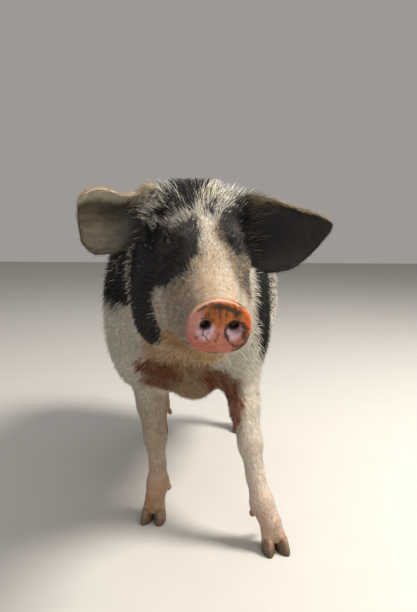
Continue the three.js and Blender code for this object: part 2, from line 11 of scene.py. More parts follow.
import bpy
import numpy as np
from mathutils import Euler, Matrix, Vector
from mathutils.bvhtree import BVHTree


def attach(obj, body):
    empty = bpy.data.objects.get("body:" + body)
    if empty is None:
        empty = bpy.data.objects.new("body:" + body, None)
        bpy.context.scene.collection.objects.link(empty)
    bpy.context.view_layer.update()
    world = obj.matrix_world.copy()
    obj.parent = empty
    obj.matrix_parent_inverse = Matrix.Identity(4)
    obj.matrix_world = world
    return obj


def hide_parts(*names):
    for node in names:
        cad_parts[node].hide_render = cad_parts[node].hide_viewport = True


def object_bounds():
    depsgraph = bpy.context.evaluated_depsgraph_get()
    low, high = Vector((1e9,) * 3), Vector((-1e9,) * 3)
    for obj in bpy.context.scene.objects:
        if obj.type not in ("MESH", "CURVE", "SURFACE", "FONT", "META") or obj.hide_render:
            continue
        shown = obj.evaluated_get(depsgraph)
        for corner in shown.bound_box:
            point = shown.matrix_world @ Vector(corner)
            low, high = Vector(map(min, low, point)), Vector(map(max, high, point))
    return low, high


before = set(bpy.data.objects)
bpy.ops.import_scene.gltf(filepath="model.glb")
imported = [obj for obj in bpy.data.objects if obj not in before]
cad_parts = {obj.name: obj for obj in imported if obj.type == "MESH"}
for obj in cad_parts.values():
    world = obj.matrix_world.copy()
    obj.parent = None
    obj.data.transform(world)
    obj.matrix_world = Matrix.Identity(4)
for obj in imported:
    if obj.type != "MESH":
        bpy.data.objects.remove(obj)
cad_bounds = [list(corner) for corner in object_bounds()]
BOX_LOW, BOX_HIGH = np.array(cad_bounds)
RNG = np.random.default_rng(11)

# ---------- the solids' dimensions, mm ----------
SNOUT = (90, -469, 458)
YAW, PITCH, ROLL = 15, 10, 3  # degrees
# y, height of back, height of belly, half width, widest level, sideways shift
BODY = [
    [-262, 548, 456, 30, 502, 34],
    [-240, 580, 424, 64, 500, 30],
    [-180, 611, 372, 97, 478, 17],
    [-105, 618, 306, 122, 446, 6],
    [-30, 619, 256, 140, 424, 0],
    [60, 620, 236, 153, 414, 0],
    [180, 623, 233, 175, 412, -4],
    [310, 625, 233, 186, 412, -8],
    [420, 621, 250, 176, 420, -12],
    [510, 603, 310, 152, 440, -15],
    [580, 566, 374, 116, 460, -17],
    [622, 524, 420, 72, 472, -18],
    [642, 486, 460, 18, 474, -18],
]
BODY_POWER, HEAD_POWER = 2.15, 2.25  # how square the sections are: 2 is an ellipse
SOFT = {  # fillets where forms join
    "muscle": 34, "brisket": 18, "leg": 26, "shank": 9, "toe": 4, "neck": 44, "tail": 9, "ear": 12,
    "disc": 5, "nostril": 3.5,
}
FAR = 400.0  # a distance that stands for nothing near
MUSCLES = {  # centre and radii, left side
    "shoulder": [(100, -20, 420), (54, 96, 150)],
    "elbow": [(98, 44, 322), (30, 34, 44)],
    "flank": [(104, 392, 330), (58, 78, 90)],
    "ham": [(84, 505, 415), (72, 106, 150)],
}
BRISKET = (16, -62, 298), (46, 62, 42)
LEGS = {  # joints from the body down: x, y, z, radius
    "foreleg_left": [
        (90, -30, 370, 62), (98, 4, 300, 45), (110, -42, 232, 32), (122, -76, 176, 25.5),
        (132, -90, 122, 20), (144, -101, 76, 24), (160, -116, 44, 22),
    ],
    "foreleg_right": [
        (-92, -10, 370, 62), (-88, 22, 300, 45), (-75, 2, 228, 32), (-63, -18, 166, 25.5),
        (-60, -14, 112, 19.5), (-61, -4, 68, 25), (-65, -15, 43, 22.5),
    ],
    "hindleg_left": [
        (76, 490, 400, 88), (92, 430, 318, 60), (90, 520, 268, 42), (87, 583, 218, 26),
        (85, 574, 140, 20), (84, 566, 76, 23), (87, 551, 44, 20),
    ],
    "hindleg_right": [
        (-108, 484, 400, 88), (-124, 404, 318, 60), (-122, 490, 268, 42), (-126, 543, 218, 26),
        (-129, 532, 140, 20), (-131, 520, 76, 23), (-134, 504, 44, 20),
    ],
}
FEET = {  # where each foot stands, and how far its toes turn to the left, degrees
    "foreleg_left": (166, -122, 16),
    "foreleg_right": (-66, -22, -3),
    "hindleg_left": (88, 544, 5),
    "hindleg_right": (-135, 497, -7),
}
KNEE, FETLOCK, PASTERN = 3, 5, 6  # places in a leg's list; the hock is a hind leg's knee here
LEG_NARROW = 0.88  # a leg's width across, for its width along
# Where a leg's own segments matter: along from its top, up, and across, as its top's place across
# times the point's, which is below 0 past the pig's middle.
LEG_REACH = {"along": 190, "up": 500, "past_middle": -2000}
CORONET = 26  # top of the claws
# the flesh of a toe, inside its claw
TOE = {"apart": 26, "ahead": 4, "low": 12, "radius": 13.5}
# in the head's frame: distance behind the snout disc, top, bottom, half width, widest level
HEAD = [
    [8, 31, -33, 35, -2],
    [26, 30, -48, 32, -4],
    [50, 37, -64, 36, -7],
    [85, 51, -76, 44, -4],
    [115, 69, -83, 54, 3],
    [145, 92, -90, 64, 8],
    [175, 114, -94, 73, 8],
    [210, 135, -102, 78, 8],
    [250, 145, -105, 80, 8],
    [300, 131, -98, 79, 8],
    [345, 92, -70, 60, 6],
    [366, 46, -34, 26, 4],
]
HEAD_FORMS = {  # centre, radii, and how softly it joins, left side
    "jowl": [(44, 206, -36), (46, 80, 64), 24],
    "cheekbone": [(56, 186, 34), (20, 44, 18), 16],
    "brow": [(34, 158, 82), (16, 32, 10), 22],
    "ear_root": [(57, 246, 88), (27, 28, 32), 20],
}
DISC = {"half": 39.6, "up": 31.6, "down": 35.6, "centre": -1, "back": 14}
EYE = {
    "at": (41.9, 151, 67.5), "radius": 11.5, "lid": 1.9,
    "out": (0.84, -0.47, 0.29), "slit": (-0.35, -0.85, -0.34),  # ways, on the left
}
NOSTRIL = {"at": (16.2, 0.4), "deep": 15, "turn": 0.25, "narrows": 0.022, "half": 6.0, "up": 5.0, "down": 5.6}
# lengths, degrees, and the radius of the cup; thick at the root and at the tip
EAR = {"root": (60, 243, 88), "reach": -28, "sweep": 25, "lean": 12, "thick": (13, 5), "cup": 105}
EARS = {  # edges by the distance from the root; the top edge is rolled forwards
    "left": {
        "length": 150, "lift": 3, "roll": 40, "rolled": 12,
        "top": [[-28, 20], [0, 33], [36, 42], [82, 31], [128, 19], [150, 8]],
        "bottom": [
            [-28, -20], [0, -45], [36, -70], [66, -82], [92, -75], [122, -45], [138, -21], [150, -3],
        ],
    },
    "right": {
        "length": 122, "lift": 0, "roll": 135, "rolled": 22,
        "top": [[-28, 22], [0, 48], [14, 60], [40, 50], [58, 47], [92, 56], [112, 50], [122, 36]],
        "bottom": [[-28, -18], [0, -30], [41, -42], [79, -55], [102, -56], [116, -44], [122, -26]],
    },
}
TAIL = {
    "at": (-18, 580, 538), "straight": 84, "curl": 23, "turn": 430, "drift": 24,
    "thick": 9.5, "tip": 3.2, "stations": 34,
}
CLAW = {"length": 48, "width": 23, "apart": 26.5, "ahead": 11, "splay": 7}
DEWCLAW = {"length": 15, "width": 13, "high": 24, "at": (14, 17, 62), "tilt": 38, "out": 12}
SIDES = {"left": 1, "right": -1}


# ---------- frames ----------
def turned(matrix):
    """A rotation as a 3 x 3 array."""
    return np.array(matrix.to_3x3())


HEAD_TURN = turned(
    Matrix.Rotation(math.radians(YAW), 3, "Z")
    @ Matrix.Rotation(math.radians(PITCH), 3, "X")
    @ Matrix.Rotation(math.radians(ROLL), 3, "Y")
)


def to_head(p):
    return (p - SNOUT) @ HEAD_TURN


def from_head(q):
    return np.asarray(q, float) @ HEAD_TURN.T + SNOUT


# The row frame's origin in the body's frame, from the left eye's place in both.
eye_points = np.array([v.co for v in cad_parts["eye_left"].data.vertices])
eye_middle = np.unique(eye_points.round(6), axis=0).mean(0)
BASE = from_head(EYE["at"]) - eye_middle * 1000
BASE[2] = 0


def to_row(p):
    return (np.asarray(p, float) - BASE) / 1000


# ---------- field helpers ----------
def profile(stations, column=1):
    """One column of a table as a smooth curve with no overshoot between its stations."""
    t = np.array([s[0] for s in stations], float)
    v = np.array([s[column] for s in stations], float)
    width = np.diff(t)
    slope = np.diff(v) / width
    a, b = slope[:-1], slope[1:]
    same = a * b > 0
    inner = np.where(same, 2 * a * b / np.where(same, a + b, 1), 0)
    tangent = np.concatenate([slope[:1], inner, slope[-1:]])
    fine = np.linspace(t[0], t[-1], 700)
    i = np.clip(np.searchsorted(t, fine, "right") - 1, 0, len(t) - 2)
    s = (fine - t[i]) / width[i]
    r = 1 - s
    value = v[i] * r * r * (1 + 2 * s) + tangent[i] * width[i] * r * r * s
    value += v[i + 1] * s * s * (3 - 2 * s) - tangent[i + 1] * width[i] * s * s * r
    return lambda at: np.interp(at, fine, value)


def ramp(v, start, end):
    """0 up to start, 1 from end, and smooth between."""
    t = np.clip((v - start) / (end - start), 0, 1)
    return t * t * (3 - 2 * t)


def bump(v, middle, width):
    return np.exp(-(((v - middle) / width) ** 2))


def blend(a, b, k):
    """Union of two fields with a fillet of about k."""
    h = np.maximum(k - np.abs(a - b), 0)
    return np.minimum(a, b) - h * h / (4 * k)


def ellipsoid(p, centre, radii):
    q = (p - centre) / radii
    near = np.sqrt((q * q).sum(1))
    return near * (near - 1) / (np.sqrt(((q / radii) ** 2).sum(1)) + 1e-9)


def limb(p, a, b, narrow=1.0):
    """Distance to a round segment that tapers from radius a[3] to b[3]."""
    a, b = np.array(a, float), np.array(b, float)
    axis = b[:3] - a[:3]
    t = np.clip((p - a[:3]) @ axis / (axis @ axis), 0, 1)
    off = p - a[:3] - t[:, None] * axis
    off[:, 0] /= narrow
    return np.sqrt((off * off).sum(1)) - (a[3] + t * (b[3] - a[3]))


def oval(x, z, w, up, down, power):
    """Distance to a rounded section of half width w, of one height above z = 0 and another below."""
    h = np.where(z > 0, up, down)
    ax, az = np.abs(x) / w, np.abs(z) / h
    q = np.maximum((ax**power + az**power) ** (1 / power), 1e-6)
    return (q - 1) / (np.hypot((ax / q) ** (power - 1) / w, (az / q) ** (power - 1) / h) + 1e-9)


def wave(p, size, seed):
    """A smooth random field of about -1 to 1, with lumps of about the given size."""
    draw = np.random.default_rng(seed)
    total = np.zeros(len(p))
    for _ in range(7):
        direction = draw.normal(size=3)
        direction *= (2 * math.pi / size) * draw.uniform(0.6, 1.5) / np.linalg.norm(direction)
        total += np.sin(p @ direction + draw.uniform(0, 2 * math.pi))
    return total / 3.2


def unit(v):
    v = np.asarray(v, float)
    return v / (np.linalg.norm(v, axis=-1, keepdims=True) + 1e-12)


def mirrored(p, middle=0.0):
    """Points brought over to the left side."""
    out = p.copy()
    out[:, 0] = np.abs(out[:, 0] - middle)
    return out


# ---------- trunk and legs ----------
back_z, belly_z, body_half, widest_z, body_shift = [profile(BODY, c) for c in range(1, 6)]


def trunk(p):
    x, y, z = p.T
    end = BODY[-1][0]
    at = np.minimum(y, end)
    level, w = widest_z(at), body_half(at)
    d = oval(x - body_shift(at), z - level, w, back_z(at) - level, level - belly_z(at), BODY_POWER)
    step = 6
    steep = (w - body_half(np.minimum(at + step, end))) / step
    d /= np.hypot(1, np.maximum(steep, 0))
    return np.maximum.reduce([d, y - end, BODY[0][0] - y])


def pastern(name, high):
    """Where the middle of a leg is at a height between its last two joints."""
    upper, lower = np.array(LEGS[name][-2:])[:, :3]
    return (upper + (lower - upper) * (upper[2] - high) / (upper[2] - lower[2]))[:2]


def foot_point(name, local, middle=None):
    """A point of a foot's own frame, toes forward, in the body's frame."""
    x, y, turn = FEET[name]
    if middle is not None:
        x, y = middle
    c, s = math.cos(math.radians(turn)), math.sin(math.radians(turn))
    local = np.atleast_2d(local).astype(float)
    return np.stack(
        [x + c * local[:, 0] - s * local[:, 1], y + s * local[:, 0] + c * local[:, 1], local[:, 2]], 1
    )


def chain(name):
    """A leg's segments with how softly each joins, and last the two toes side by side."""
    joints = LEGS[name]
    links = [(a, b, SOFT["shank"]) for a, b in zip(joints, joints[1:])]
    for s in SIDES.values():
        toe = foot_point(name, (TOE["apart"] / 2 * s, -TOE["ahead"], TOE["low"]))[0]
        links.append((joints[-1], (*toe, TOE["radius"]), SOFT["toe"]))
    return links


CHAINS = {name: chain(name) for name in LEGS}


def body(p):
    """Trunk and legs, with the muscles that join them."""
    d = trunk(p)
    side = mirrored(p, body_shift(np.minimum(p[:, 1], BODY[-1][0])))
    for centre, radii in MUSCLES.values():
        d = blend(d, ellipsoid(side, centre, radii), SOFT["muscle"])
    d = blend(d, ellipsoid(p, *BRISKET), SOFT["brisket"])
    for name, links in CHAINS.items():
        top_x, top_y = LEGS[name][0][:2]
        near = np.abs(p[:, 1] - top_y) < LEG_REACH["along"]
        near &= (p[:, 0] * top_x > LEG_REACH["past_middle"]) & (p[:, 2] < LEG_REACH["up"])
        at = p[near]
        leg = np.full(len(at), FAR)
        for a, b, soft in links:
            leg = blend(leg, limb(at, a, b, LEG_NARROW), soft)
        d[near] = blend(d[near], leg, SOFT["leg"])
    return d


# ---------- head, in its own frame: origin at the snout disc, +y back, +z up ----------
crown, chin, head_half, cheek_level = [profile(HEAD, c) for c in range(1, 5)]


def skull(q):
    x, b, z = q.T
    at = np.clip(b, HEAD[0][0], HEAD[-1][0])
    level = cheek_level(at)
    d = oval(x, z - level, head_half(at), crown(at) - level, level - chin(at), HEAD_POWER)
    d = np.maximum.reduce([d, HEAD[0][0] - b, b - HEAD[-1][0]])
    side = mirrored(q)
    for centre, radii, soft in HEAD_FORMS.values():
        d = blend(d, ellipsoid(side, centre, radii), soft)
    return d


def disc(q):
    """The snout disc: domed above, flatter below, with a rounded rim and a slightly hollow face."""
    x, b, z = q.T
    z = z - DISC["centre"]
    power = np.where(z > 0, 2.1, 2.7)
    rim = oval(x, z, DISC["half"], DISC["up"], DISC["down"], power)
    q2 = (x / DISC["half"]) ** 2 + (z / DISC["up"]) ** 2
    face = 0.5 + 1.6 * np.exp(-3.2 * q2) - 0.9 * bump(z, 16, 9) * bump(x, 0, 17) - b
    out, high = np.abs(x) - 17.5, z
    face += 4.2 * np.exp(-(((out - 0.5) / 8.5) ** 2 + ((high + 4.5) / 8.5) ** 2))
    ring = np.hypot(out, high + 1.5)
    face -= 1.3 * bump(ring, 12.5, 2.6) * ramp(0.8 * out + high, -4, 6)
    face += 0.5 * bump(x, 0, 2.2) * ramp(-z, -4, 4) - 0.35 * wave(q * (1, 0, 1), 9, 71)
    return -blend(-rim, blend(-face, DISC["back"] - b, 4), 7)


def eye_axes(s):
    """Outwards, forwards along the slit, and up, at the eye on side s."""
    out = unit(np.array(EYE["out"]) * (s, 1, 1))
    along = np.array(EYE["slit"]) * (s, 1, 1)
    along = unit(along - (along @ out) * out)
    up = np.cross(out, along) * (-s)
    return out, along, up if up[2] > 0 else -up


def eye_place(q, s):
    """Distance from the eye's middle, and the place along the slit, up and outwards."""
    off = q - np.array(EYE["at"]) * (s, 1, 1)
    out, along, up = eye_axes(s)
    return np.sqrt((off * off).sum(1)), off @ along, off @ up, off @ out


def lids(d, q, s):
    """A lid over the eyeball, open in an almond slit, with folds above and below it."""
    far, a, c, h = eye_place(q, s)
    radius = EYE["radius"]
    d = blend(d, far - (radius + EYE["lid"]), 7)
    ring = np.hypot(a / 1.3, c)
    front = ramp(h, 0, 5)
    d = d + front * (
        1.7 * bump(ring, 9.8, 1.6) * ramp(c, 0, 4)
        - 1.2 * bump(ring, 13, 2.6) * ramp(c, 1, 6)
        + 0.9 * bump(ring, 9.2, 1.3) * ramp(-c, 0, 4)
        + 1.0 * bump(ring, 13.8 + 0.08 * a, 1.7) * ramp(-c, 1, 5)
    )
    slit = np.abs(c - 0.3 + 0.012 * a * a) - 3.5 * (1 - (a / 8.6) ** 2)
    opened = ramp(-slit, -0.8, 0.8) * ramp(h, 3, 6)
    return d + (far - (radius - 1.2) - d) * opened


def nostril(q, s):
    """A blind pit that runs back and outwards, wider at its mouth."""
    x, b, z = q.T
    turn, deep = NOSTRIL["turn"], NOSTRIL["deep"]
    back = np.clip(b, 0, deep)
    x = x * s - (NOSTRIL["at"][0] + back * turn)
    z = z - NOSTRIL["at"][1]
    c, sn = math.cos(turn), math.sin(turn)
    across, high = c * x + sn * z, -sn * x + c * z
    size = 1.0 - NOSTRIL["narrows"] * back
    pit = oval(across, high, NOSTRIL["half"] * size, NOSTRIL["up"] * size, NOSTRIL["down"] * size, 2.0)
    return np.maximum(pit, b - deep)


def mouth_level(b):
    """Height of the line of the mouth, which turns up at its corner."""
    return -36.0 - (b - 30) * 0.16 - 1.5 * bump(b, 58, 16) + 9 * ramp(b, 78, 122)


def face_relief(q):
    """Grooves and wrinkles of the head, as a depth to add to the field."""
    x, b, z = q.T
    side = np.abs(x)
    # the mouth, with its lips
    lip = z - mouth_level(b)
    in_mouth = ramp(b, 9, 15) * (1 - ramp(b, 96, 110))
    groove = (4.4 - 0.024 * b) * bump(lip, 0, 1.5)
    depth = in_mouth * (groove - 1.4 * bump(lip, 6, 4.5) + 1.2 * bump(lip, -7, 5))
    # behind the disc, and rings of wrinkles over the snout
    upper = ramp(z, -22, -8)
    ripple = 2.0 * np.sin(side / 9.0)
    depth += 2.8 * bump(b, 18.5, 3.2) * ramp(z, -29, -18)
    for at, strength in ((27.5, 1.1), (36, 1.0), (46, 0.8), (58, 0.6), (72, 0.4)):
        depth += strength * bump(b + ripple, at, 2.2) * upper * (1 - 0.5 * ramp(side, 24, 34))
    # the mouth's corner, the jowl, two furrows of the cheek and the frown
    corner = np.hypot(b - 108, z + 44)
    depth += 1.6 * bump(corner, 0, 6) * ramp(side, 20, 34)
    jowl = ramp(-z, 10, 25) * (1 - ramp(-z, 60, 80))
    depth += 1.4 * bump(b - 0.35 * z, 138, 4) * jowl * ramp(side, 35, 50)
    furrow = (b - 128) + 0.8 * (z - 40)
    depth += 1.5 * bump(furrow, 0, 3.5) * bump(z, 34, 16) * ramp(side, 24, 36)
    furrow = (b - 112) + 0.7 * (z - 30)
    depth += 1.0 * bump(furrow, 0, 3) * bump(z, 24, 14) * ramp(side, 22, 34)
    frown = side - 9 - 0.10 * (b - 150)
    depth += 1.3 * bump(frown, 0, 3.0) * bump(b, 168, 22) * ramp(z, 60, 90)
    depth -= 0.6 * wave(q, 26, 5) * ramp(b, 30, 60)
    return depth


# ---------- ears ----------
def ear_section(u, high, low, count, shape, side):
    """One section across an ear at u: an arc cupped forwards, the rim at its top rolled further."""
    fine = 48
    spread = min(max((u - EAR["reach"]) / 60, 0), 1) * (1 - 0.35 * min(max(u / shape["length"], 0), 1))
    ends = []
    for end in (low, high):
        step = end / fine
        at = abs(step) * (np.arange(fine) + 0.5)
        rolled = (at > end - shape["rolled"]) if end > 0 else np.zeros(fine)
        curl = rolled * math.radians(shape["roll"]) * spread / shape["rolled"]
        bend = np.cumsum(abs(step) * (1 / EAR["cup"] + curl))
        z = np.concatenate([[0], np.cumsum(step * np.cos(bend))])
        y = np.concatenate([[0], -np.cumsum(abs(step) * np.sin(bend))])
        ends.append((z, y))
    t = np.linspace(-1, 1, count)
    place = np.abs(t) * fine
    z, y = [
        np.where(t < 0, np.interp(place, range(fine + 1), ends[0][n]),
                 np.interp(place, range(fine + 1), ends[1][n]))
        for n in (0, 1)
    ]
    return np.stack([np.full(count, u * side), y, z], 1)


class Ear:
    """The middle of an ear's sheet, in the head's frame, drawn in from the rim by the coat."""

    ROWS, COLS = 60, 49
    DRAWN_IN, NARROWER = 3.0, 2.0  # from the tip, and from each edge
    SWELL = 14  # how far round the sheet it is looked for
    ROOT_SIDE = 28  # and no nearer than this to the head's middle

    def __init__(self, name):
        shape, side = EARS[name], SIDES[name]
        top, bottom = profile(shape["top"]), profile(shape["bottom"])
        stations = np.linspace(EAR["reach"], shape["length"] - self.DRAWN_IN, self.ROWS)
        grid = np.stack([
            ear_section(
                u, float(top(u)) - self.NARROWER, float(bottom(u)) + self.NARROWER, self.COLS, shape, side
            )
            for u in stations
        ])
        turn = (
            Matrix.Rotation(math.radians(-shape["lift"] * side), 3, "Y")
            @ Matrix.Rotation(math.radians(-EAR["sweep"] * side), 3, "Z")
            @ Matrix.Rotation(math.radians(-EAR["lean"]), 3, "X")
        )
        root = np.array(EAR["root"]) * (side, 1, 1)
        self.grid = grid @ turned(turn).T + root
        self.side = side
        n = np.arange(self.ROWS * self.COLS).reshape(self.ROWS, self.COLS)
        quads = np.stack([n[:-1, :-1], n[1:, :-1], n[1:, 1:], n[:-1, 1:]], -1).reshape(-1, 4)
        self.tree = BVHTree.FromPolygons(self.grid.reshape(-1, 3).tolist(), quads.tolist())
        along = (stations[:-1] + stations[1:]) / 2
        across = np.linspace(-1, 1, self.COLS)
        across = (across[:-1] + across[1:]) / 2
        thick = EAR["thick"][0] + (EAR["thick"][1] - EAR["thick"][0]) * np.clip(
            3 * (along - EAR["reach"]) / (shape["length"] - EAR["reach"]), 0, 1)
        edge = 1 - 0.3 * across**6
        self.half = np.outer(thick / 2 - 0.9, edge)
        self.along = along
        self.low = self.grid.reshape(-1, 3).min(0) - self.SWELL
        self.high = self.grid.reshape(-1, 3).max(0) + self.SWELL
        across_rows = self.grid[:-1, 1:] - self.grid[:-1, :-1]
        self.normal = unit(np.cross(self.grid[1:, :-1] - self.grid[:-1, :-1], across_rows)) * side
        self.centre = (self.grid[:-1, :-1] + self.grid[1:, 1:]) / 2
        self.axis = unit(self.grid[1:, :-1] - self.grid[:-1, :-1])

    def by(self, q):
        """Which points are near this ear."""
        return (q[:, 0] * self.side > self.ROOT_SIDE) & inside(q, self.low, self.high)

    def nearest(self, q, reach=30.0):
        """Distance from the sheet, its half thickness there, and its row and column there."""
        far = np.full(len(q), reach)
        face = np.zeros(len(q), int)
        find = self.tree.find_nearest
        for i, point in enumerate(q.tolist()):
            hit = find(point, reach)
            if hit[3] is not None:
                far[i], face[i] = hit[3], hit[2]
        i, j = np.divmod(face, self.COLS - 1)
        return far, self.half[i, j], i, j


EAR_SHEETS = {name: Ear(name) for name in EARS}


def tail_path(d):
    """Points of the tail's middle at distances d from its root."""
    straight, curl, turn = TAIL["straight"], TAIL["curl"], math.radians(TAIL["turn"])
    d = np.asarray(d, float)
    t = np.maximum(d - straight, 0) / curl
    over = t / turn
    out = curl * (1 - 0.2 * over)
    x = TAIL["at"][0] + TAIL["drift"] * over * np.clip(over * 3, 0, 1)
    y = TAIL["at"][1] + np.minimum(d, straight) + out * np.sin(t)
    z = TAIL["at"][2] + np.where(d > straight, curl - out * np.cos(t), 0)
    return np.stack([x, y, z], 1)


TAIL_LENGTH = TAIL["straight"] + math.radians(TAIL["turn"]) * TAIL["curl"]
TAIL_COAT = 0.8
tail_stations = np.linspace(0, TAIL_LENGTH, TAIL["stations"])
tail_taper = (tail_stations / TAIL_LENGTH) ** 0.8
tail_radii = TAIL["thick"] + (TAIL["tip"] - TAIL["thick"]) * tail_taper - TAIL_COAT
TAIL_LINKS = np.column_stack([tail_path(tail_stations), tail_radii])


# ---------- the whole skin as one field ----------
def coat_depth(p, q):
    """How far the skin lies inside the tips of the coat."""
    b, z = q[:, 1], q[:, 2]
    head = np.interp(b, [20, 60, 140, 200, 260], [0.8, 1.6, 2.4, 3.4, 5.5])
    head = head + 5.5 * ramp(z, 96, 132) * ramp(b, 170, 220)
    trunk_depth = np.interp(p[:, 2], [0, 60, 240, 330, 480, 600], [1.0, 1.8, 3.6, 4.8, 6.0, 7.0])
    behind = np.maximum(ramp(b, 240, 330), ramp(-z, 118, 150))
    return head + (trunk_depth - head) * behind


def body_relief(p):
    """Folds, knuckles and tendons of trunk and legs, as a depth to add to the field."""
    y, z = p[:, 1], p[:, 2]
    high = ramp(z, 150, 260)
    depth = -1.1 * wave(p, 95, 21) * high - 0.2 * wave(p, 34, 22)
    # two folds before the shoulder
    depth += 2.2 * bump(y + 0.28 * (z - 420), -118, 7) * ramp(z, 330, 380) * (1 - ramp(z, 520, 580))
    depth += 1.4 * bump(y + 0.2 * (z - 420), -92, 5) * ramp(z, 340, 400) * (1 - ramp(z, 500, 560))
    for joints in LEGS.values():
        for n, size in ((KNEE, 1.6), (FETLOCK, 1.4)):
            depth -= size * np.exp(-(((p - joints[n][:3]) ** 2).sum(1) / 26**2) ** 2)
        off = p - np.array(joints[PASTERN][:3])
        near = np.exp(-((off[:, :2] ** 2).sum(1) / 40**2) ** 2)
        for level in (14, 4, -5):
            depth += 0.7 * near * bump(off[:, 2] + 0.25 * off[:, 1], level, 2.0)
    return depth


def inside(p, low, high):
    """Which points lie in a box."""
    return np.all((p > low) & (p < high), axis=1)


BOXES = {  # low and high corners of the regions of the head's frame that its forms are kept to
    "head": ((-150, -40, -190), (150, 440, 200)),
    "disc": ((-80, -30, -75), (80, 60, 75)),
    "face": ((-110, 5, -130), (110, 260, 160)),
    "left_eye": ((10, 110, 25), (90, 195, 115)),
    "nostrils": ((-60, -10, -30), (60, 34, 30)),
}


def field(p, swell=0.0):
    """The skin is where this is zero. Swell thickens thin sheets, so that a coarse grid finds them."""
    q = to_head(p)
    d = body(p)
    near = inside(q, *BOXES["head"])
    d[near] = blend(d[near], skull(q[near]), SOFT["neck"])
    off_head = np.maximum(ramp(q[:, 1], 250, 330), ramp(-q[:, 2], 120, 150))
    d += coat_depth(p, q) + body_relief(p) * off_head
    near = p[:, 1] > TAIL["at"][1] - 10
    tail = np.full(near.sum(), FAR)
    for a, b in zip(TAIL_LINKS, TAIL_LINKS[1:]):
        tail = np.minimum(tail, limb(p[near], a, b))
    d[near] = blend(d[near], tail - 0.5 * swell, SOFT["tail"])
    for ear in EAR_SHEETS.values():
        near = ear.by(q)
        far, half, _, _ = ear.nearest(q[near])
        d[near] = blend(d[near], far - half - swell, SOFT["ear"])
    near = inside(q, *BOXES["disc"])
    front = blend(d[near], disc(q[near]), SOFT["disc"])
    for s in SIDES.values():
        front = -blend(-front, nostril(q[near], s), SOFT["nostril"])
    d[near] = front
    near = inside(q, *BOXES["face"])
    d[near] += face_relief(q[near])
    for s in SIDES.values():
        near = inside(q * (s, 1, 1), *BOXES["left_eye"])
        d[near] = lids(d[near], q[near], s)
    return d


# ---------- from the field to a mesh ----------
def stations(*parts):
    """Grid planes: (start, cell) for each stretch, and the end."""
    out = []
    for (start, cell), after in zip(parts, parts[1:]):
        end = after[0] if isinstance(after, tuple) else after
        out.append(np.linspace(start, end, max(round((end - start) / cell), 1), endpoint=False))
    return np.concatenate([*out, [parts[-1]]])


def sampled(xs, ys, zs, swell, block=4):
    """The field on a grid, worked out only in the blocks that the surface may cross."""
    axes = (xs, ys, zs)
    shape = tuple(len(a) for a in axes)
    counts = [math.ceil(n / block) for n in shape]
    middles = [a[np.minimum(np.arange(c) * block + block // 2, len(a) - 1)] for a, c in zip(axes, counts)]
    reach = [np.interp(m, a[:-1], np.diff(a)) * block / 2 for m, a in zip(middles, axes)]
    centres = np.stack(np.meshgrid(*middles, indexing="ij"), -1).reshape(-1, 3)
    spans = np.stack(np.meshgrid(*reach, indexing="ij"), -1).reshape(-1, 3)
    coarse = field(centres, swell)
    near = np.abs(coarse) < 1.5 * np.linalg.norm(spans, axis=1) + 6

    def spread(values):
        values = values.reshape(counts)
        for axis in range(3):
            values = values.repeat(block, axis)
        return values[: shape[0], : shape[1], : shape[2]]

    values = spread(coarse).astype(np.float32)
    need = spread(near).copy()
    for axis in range(3):
        need |= np.roll(need, 1, axis)
    index = np.nonzero(need)
    points = np.stack([a[i] for a, i in zip(axes, index)], 1)
    values[index] = field(points, swell)
    return values


CORNERS = [(i & 1, (i >> 1) & 1, (i >> 2) & 1) for i in range(8)]
CUBE_EDGES = [(a, a | bit) for a in range(8) for bit in (1, 2, 4) if not a & bit]


def nets(xs, ys, zs, swell):
    """Surface nets: one vertex in each crossed cell, one square across each crossed edge."""
    values = sampled(xs, ys, zs, swell)
    solid = values < 0
    cells = tuple(n - 1 for n in values.shape)
    count = np.zeros(cells, np.uint8)
    for i, j, k in CORNERS:
        count += solid[i : i + cells[0], j : j + cells[1], k : k + cells[2]]
    active = np.nonzero((count > 0) & (count < 8))
    number = np.full(cells, -1, np.int64)
    number[active] = np.arange(len(active[0]))
    corner = np.stack([values[active[0] + i, active[1] + j, active[2] + k] for i, j, k in CORNERS], 1)
    total = np.zeros((len(corner), 3))
    crossings = np.zeros(len(corner))
    for a, b in CUBE_EDGES:
        va, vb = corner[:, a], corner[:, b]
        cross = (va < 0) != (vb < 0)
        t = np.where(cross, va / np.where(cross, va - vb, 1), 0)
        start, way = np.array(CORNERS[a]), np.array(CORNERS[b]) - CORNERS[a]
        total += cross[:, None] * (start + t[:, None] * way)
        crossings += cross
    local = total / crossings[:, None]
    points = np.stack(
        [a[i] + local[:, n] * (a[i + 1] - a[i]) for n, (a, i) in enumerate(zip((xs, ys, zs), active))], 1
    )
    quads = []
    step = np.eye(3, dtype=int)
    for n, a, b in ((0, 1, 2), (1, 2, 0), (2, 0, 1)):
        first = [slice(1, -1)] * 3
        first[n] = slice(0, -1)
        second = list(first)
        second[n] = slice(1, None)
        one, two = solid[tuple(first)], solid[tuple(second)]
        at = np.stack(np.nonzero(one != two), 1)
        inward = one[tuple(at.T)]
        at = at + [0 if m == n else 1 for m in range(3)]
        ring = [at - step[a] - step[b], at - step[b], at, at - step[a]]
        ring = np.stack([number[tuple(r.T)] for r in ring], 1)
        quads.append(np.where(inward[:, None], ring, ring[:, ::-1]))
    return points, np.concatenate(quads)


def slope(p, step=0.35):
    """The field and its slope, from four samples."""
    offsets = np.array([(1, -1, -1), (-1, -1, 1), (-1, 1, -1), (1, 1, 1)], float) * step
    values = np.stack([field(p + o) for o in offsets], 1)
    return values.mean(1), values @ offsets / (4 * step * step)


